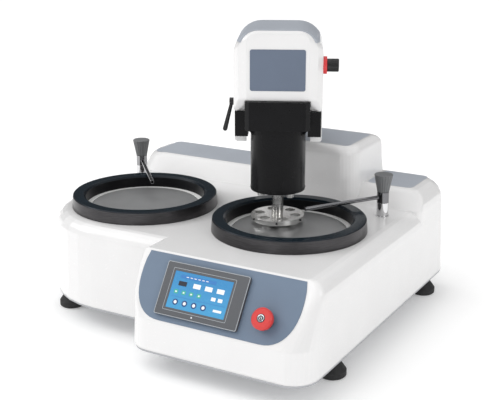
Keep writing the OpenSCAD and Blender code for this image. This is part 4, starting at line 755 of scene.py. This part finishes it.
def bowl_lips():
    """White inner lip of each drip bowl, seen in the gap round the disc."""
    for name, centre in (("left_bowl_lip", LEFT_DISC), ("right_bowl_lip", RIGHT_DISC)):
        lip = lathe([(113.5, 0), (126.5, 0), (126.5, 2.7), (114.3, 2.7), (113.5, 1.9)], 128)
        piece(name, placed(lip, level_place(centre + UP * BOWL_LEDGE)),
              "base", LIP_WHITE)


def foot_ribs():
    """Grip ribs round each rubber foot's skirt."""
    rings = []
    for x, y in FEET:
        for height in (4.0, 8.0):
            band = lathe([(25.2, -0.8), (26.0, -0.4), (26.0, 0.4), (25.2, 0.8)], 64)
            rings.append(placed(band, level_place(Vector((x, y, height)))))
    piece("foot_ribs", joined(rings), "base", FINISHES["rubber"])


# Light and camera

FLOOR_HALF = 30
AIR_LIGHT = 0.74
WALL = {"From Min": 0.3, "From Max": 0.8, "To Min": 0.1, "To Max": 1.0}
SUN_ENERGY, SUN_SPREAD, SUN_ALONG = 0.82, math.radians(60), Vector((0.62, 0.34, -1.0))
# Name, place, size and power
LAMPS = (("key", (-2.4, -0.9, 1.9), 0.9, 11.5), ("fill", (2.5, -0.9, 1.5), 1.0, 8.5),
         ("front", (0.4, -3.4, 1.0), 0.6, 4))
LAMPS_AIM = Vector((0.05, 0, 0.2))
CAMERA_AT, CAMERA_TURN = (1.0380, -1.7243, 0.8487), (math.radians(73), 0, math.radians(29.7))
LENS_MM, SENSOR_MM, NEAR, FAR = 73.76, 36, 0.05, 30


def floor():
    """Paper sweep that carries the shadow."""
    work = bmesh.new()
    for x, y in ((-1, -1), (1, -1), (1, 1), (-1, 1)):
        work.verts.new((x * FLOOR_HALF, y * FLOOR_HALF, 0))
    work.faces.new(work.verts)
    mesh = bpy.data.meshes.new("paper_floor")
    work.to_mesh(mesh)
    work.free()
    mesh.materials.append(paper_floor())
    made = bpy.data.objects.new("paper_floor", mesh)
    bpy.context.scene.collection.objects.link(made)


def surroundings():
    """White behind the machine, even air light on it, and a wall that only shine sees."""
    world = bpy.data.worlds.new("studio")
    bpy.context.scene.world = world
    world.use_nodes = True
    nodes, links = world.node_tree.nodes, world.node_tree.links
    nodes.clear()
    path = nodes.new("ShaderNodeLightPath")
    seen = nodes.new("ShaderNodeMath")
    seen.operation = "MAXIMUM"
    links.new(path.outputs["Is Camera Ray"], seen.inputs[0])
    links.new(path.outputs["Is Transmission Ray"], seen.inputs[1])
    # Metal sees a dim wall low down and the white ceiling above it
    towards = nodes.new("ShaderNodeTexCoord")
    height = nodes.new("ShaderNodeSeparateXYZ")
    links.new(towards.outputs["Generated"], height.inputs[0])
    wall = nodes.new("ShaderNodeMapRange")
    wall.interpolation_type = "SMOOTHSTEP"
    for socket, value in WALL.items():
        wall.inputs[socket].default_value = value
    links.new(height.outputs["Z"], wall.inputs["Value"])
    air, backdrop, mirrored = [nodes.new("ShaderNodeBackground") for _ in range(3)]
    for glow in (air, backdrop, mirrored):
        glow.inputs["Color"].default_value = (1, 1, 1, 1)
    air.inputs["Strength"].default_value = AIR_LIGHT
    links.new(wall.outputs["Result"], mirrored.inputs["Strength"])
    shine = nodes.new("ShaderNodeMixShader")
    links.new(path.outputs["Is Glossy Ray"], shine.inputs[0])
    links.new(air.outputs[0], shine.inputs[1])
    links.new(mirrored.outputs[0], shine.inputs[2])
    either = nodes.new("ShaderNodeMixShader")
    links.new(seen.outputs[0], either.inputs[0])
    links.new(shine.outputs[0], either.inputs[1])
    links.new(backdrop.outputs[0], either.inputs[2])
    end = nodes.new("ShaderNodeOutputWorld")
    links.new(either.outputs[0], end.inputs[0])


def lamps():
    """A broad sun from the left and three soft lamps."""
    sun = bpy.data.lights.new("daylight", "SUN")
    sun.energy, sun.angle = SUN_ENERGY, SUN_SPREAD
    high = bpy.data.objects.new("daylight", sun)
    high.rotation_euler = SUN_ALONG.to_track_quat("-Z", "Y").to_euler()
    bpy.context.scene.collection.objects.link(high)
    for name, at, size, power in LAMPS:
        lamp = bpy.data.lights.new(name, "AREA")
        lamp.size, lamp.energy = size, power
        holder = bpy.data.objects.new(name, lamp)
        holder.location = at
        aim = LAMPS_AIM - Vector(at)
        holder.rotation_euler = aim.to_track_quat("-Z", "Y").to_euler()
        bpy.context.scene.collection.objects.link(holder)


def photograph():
    """The camera as the photograph was taken."""
    lens = bpy.data.cameras.new("camera")
    lens.lens, lens.sensor_width, lens.clip_start, lens.clip_end = LENS_MM, SENSOR_MM, NEAR, FAR
    camera = bpy.data.objects.new("camera", lens)
    camera.location, camera.rotation_euler = CAMERA_AT, CAMERA_TURN
    bpy.context.scene.collection.objects.link(camera)
    bpy.context.scene.camera = camera
    bpy.context.scene.view_settings.view_transform = "Standard"


dress_frame()
display_page()
screen_trim()
stop_insert()
rear_service_panel()
block_screws()
cylinder_foot()
holder_screws()
bowl_lips()
foot_ribs()
floor()
surroundings()
lamps()
photograph()
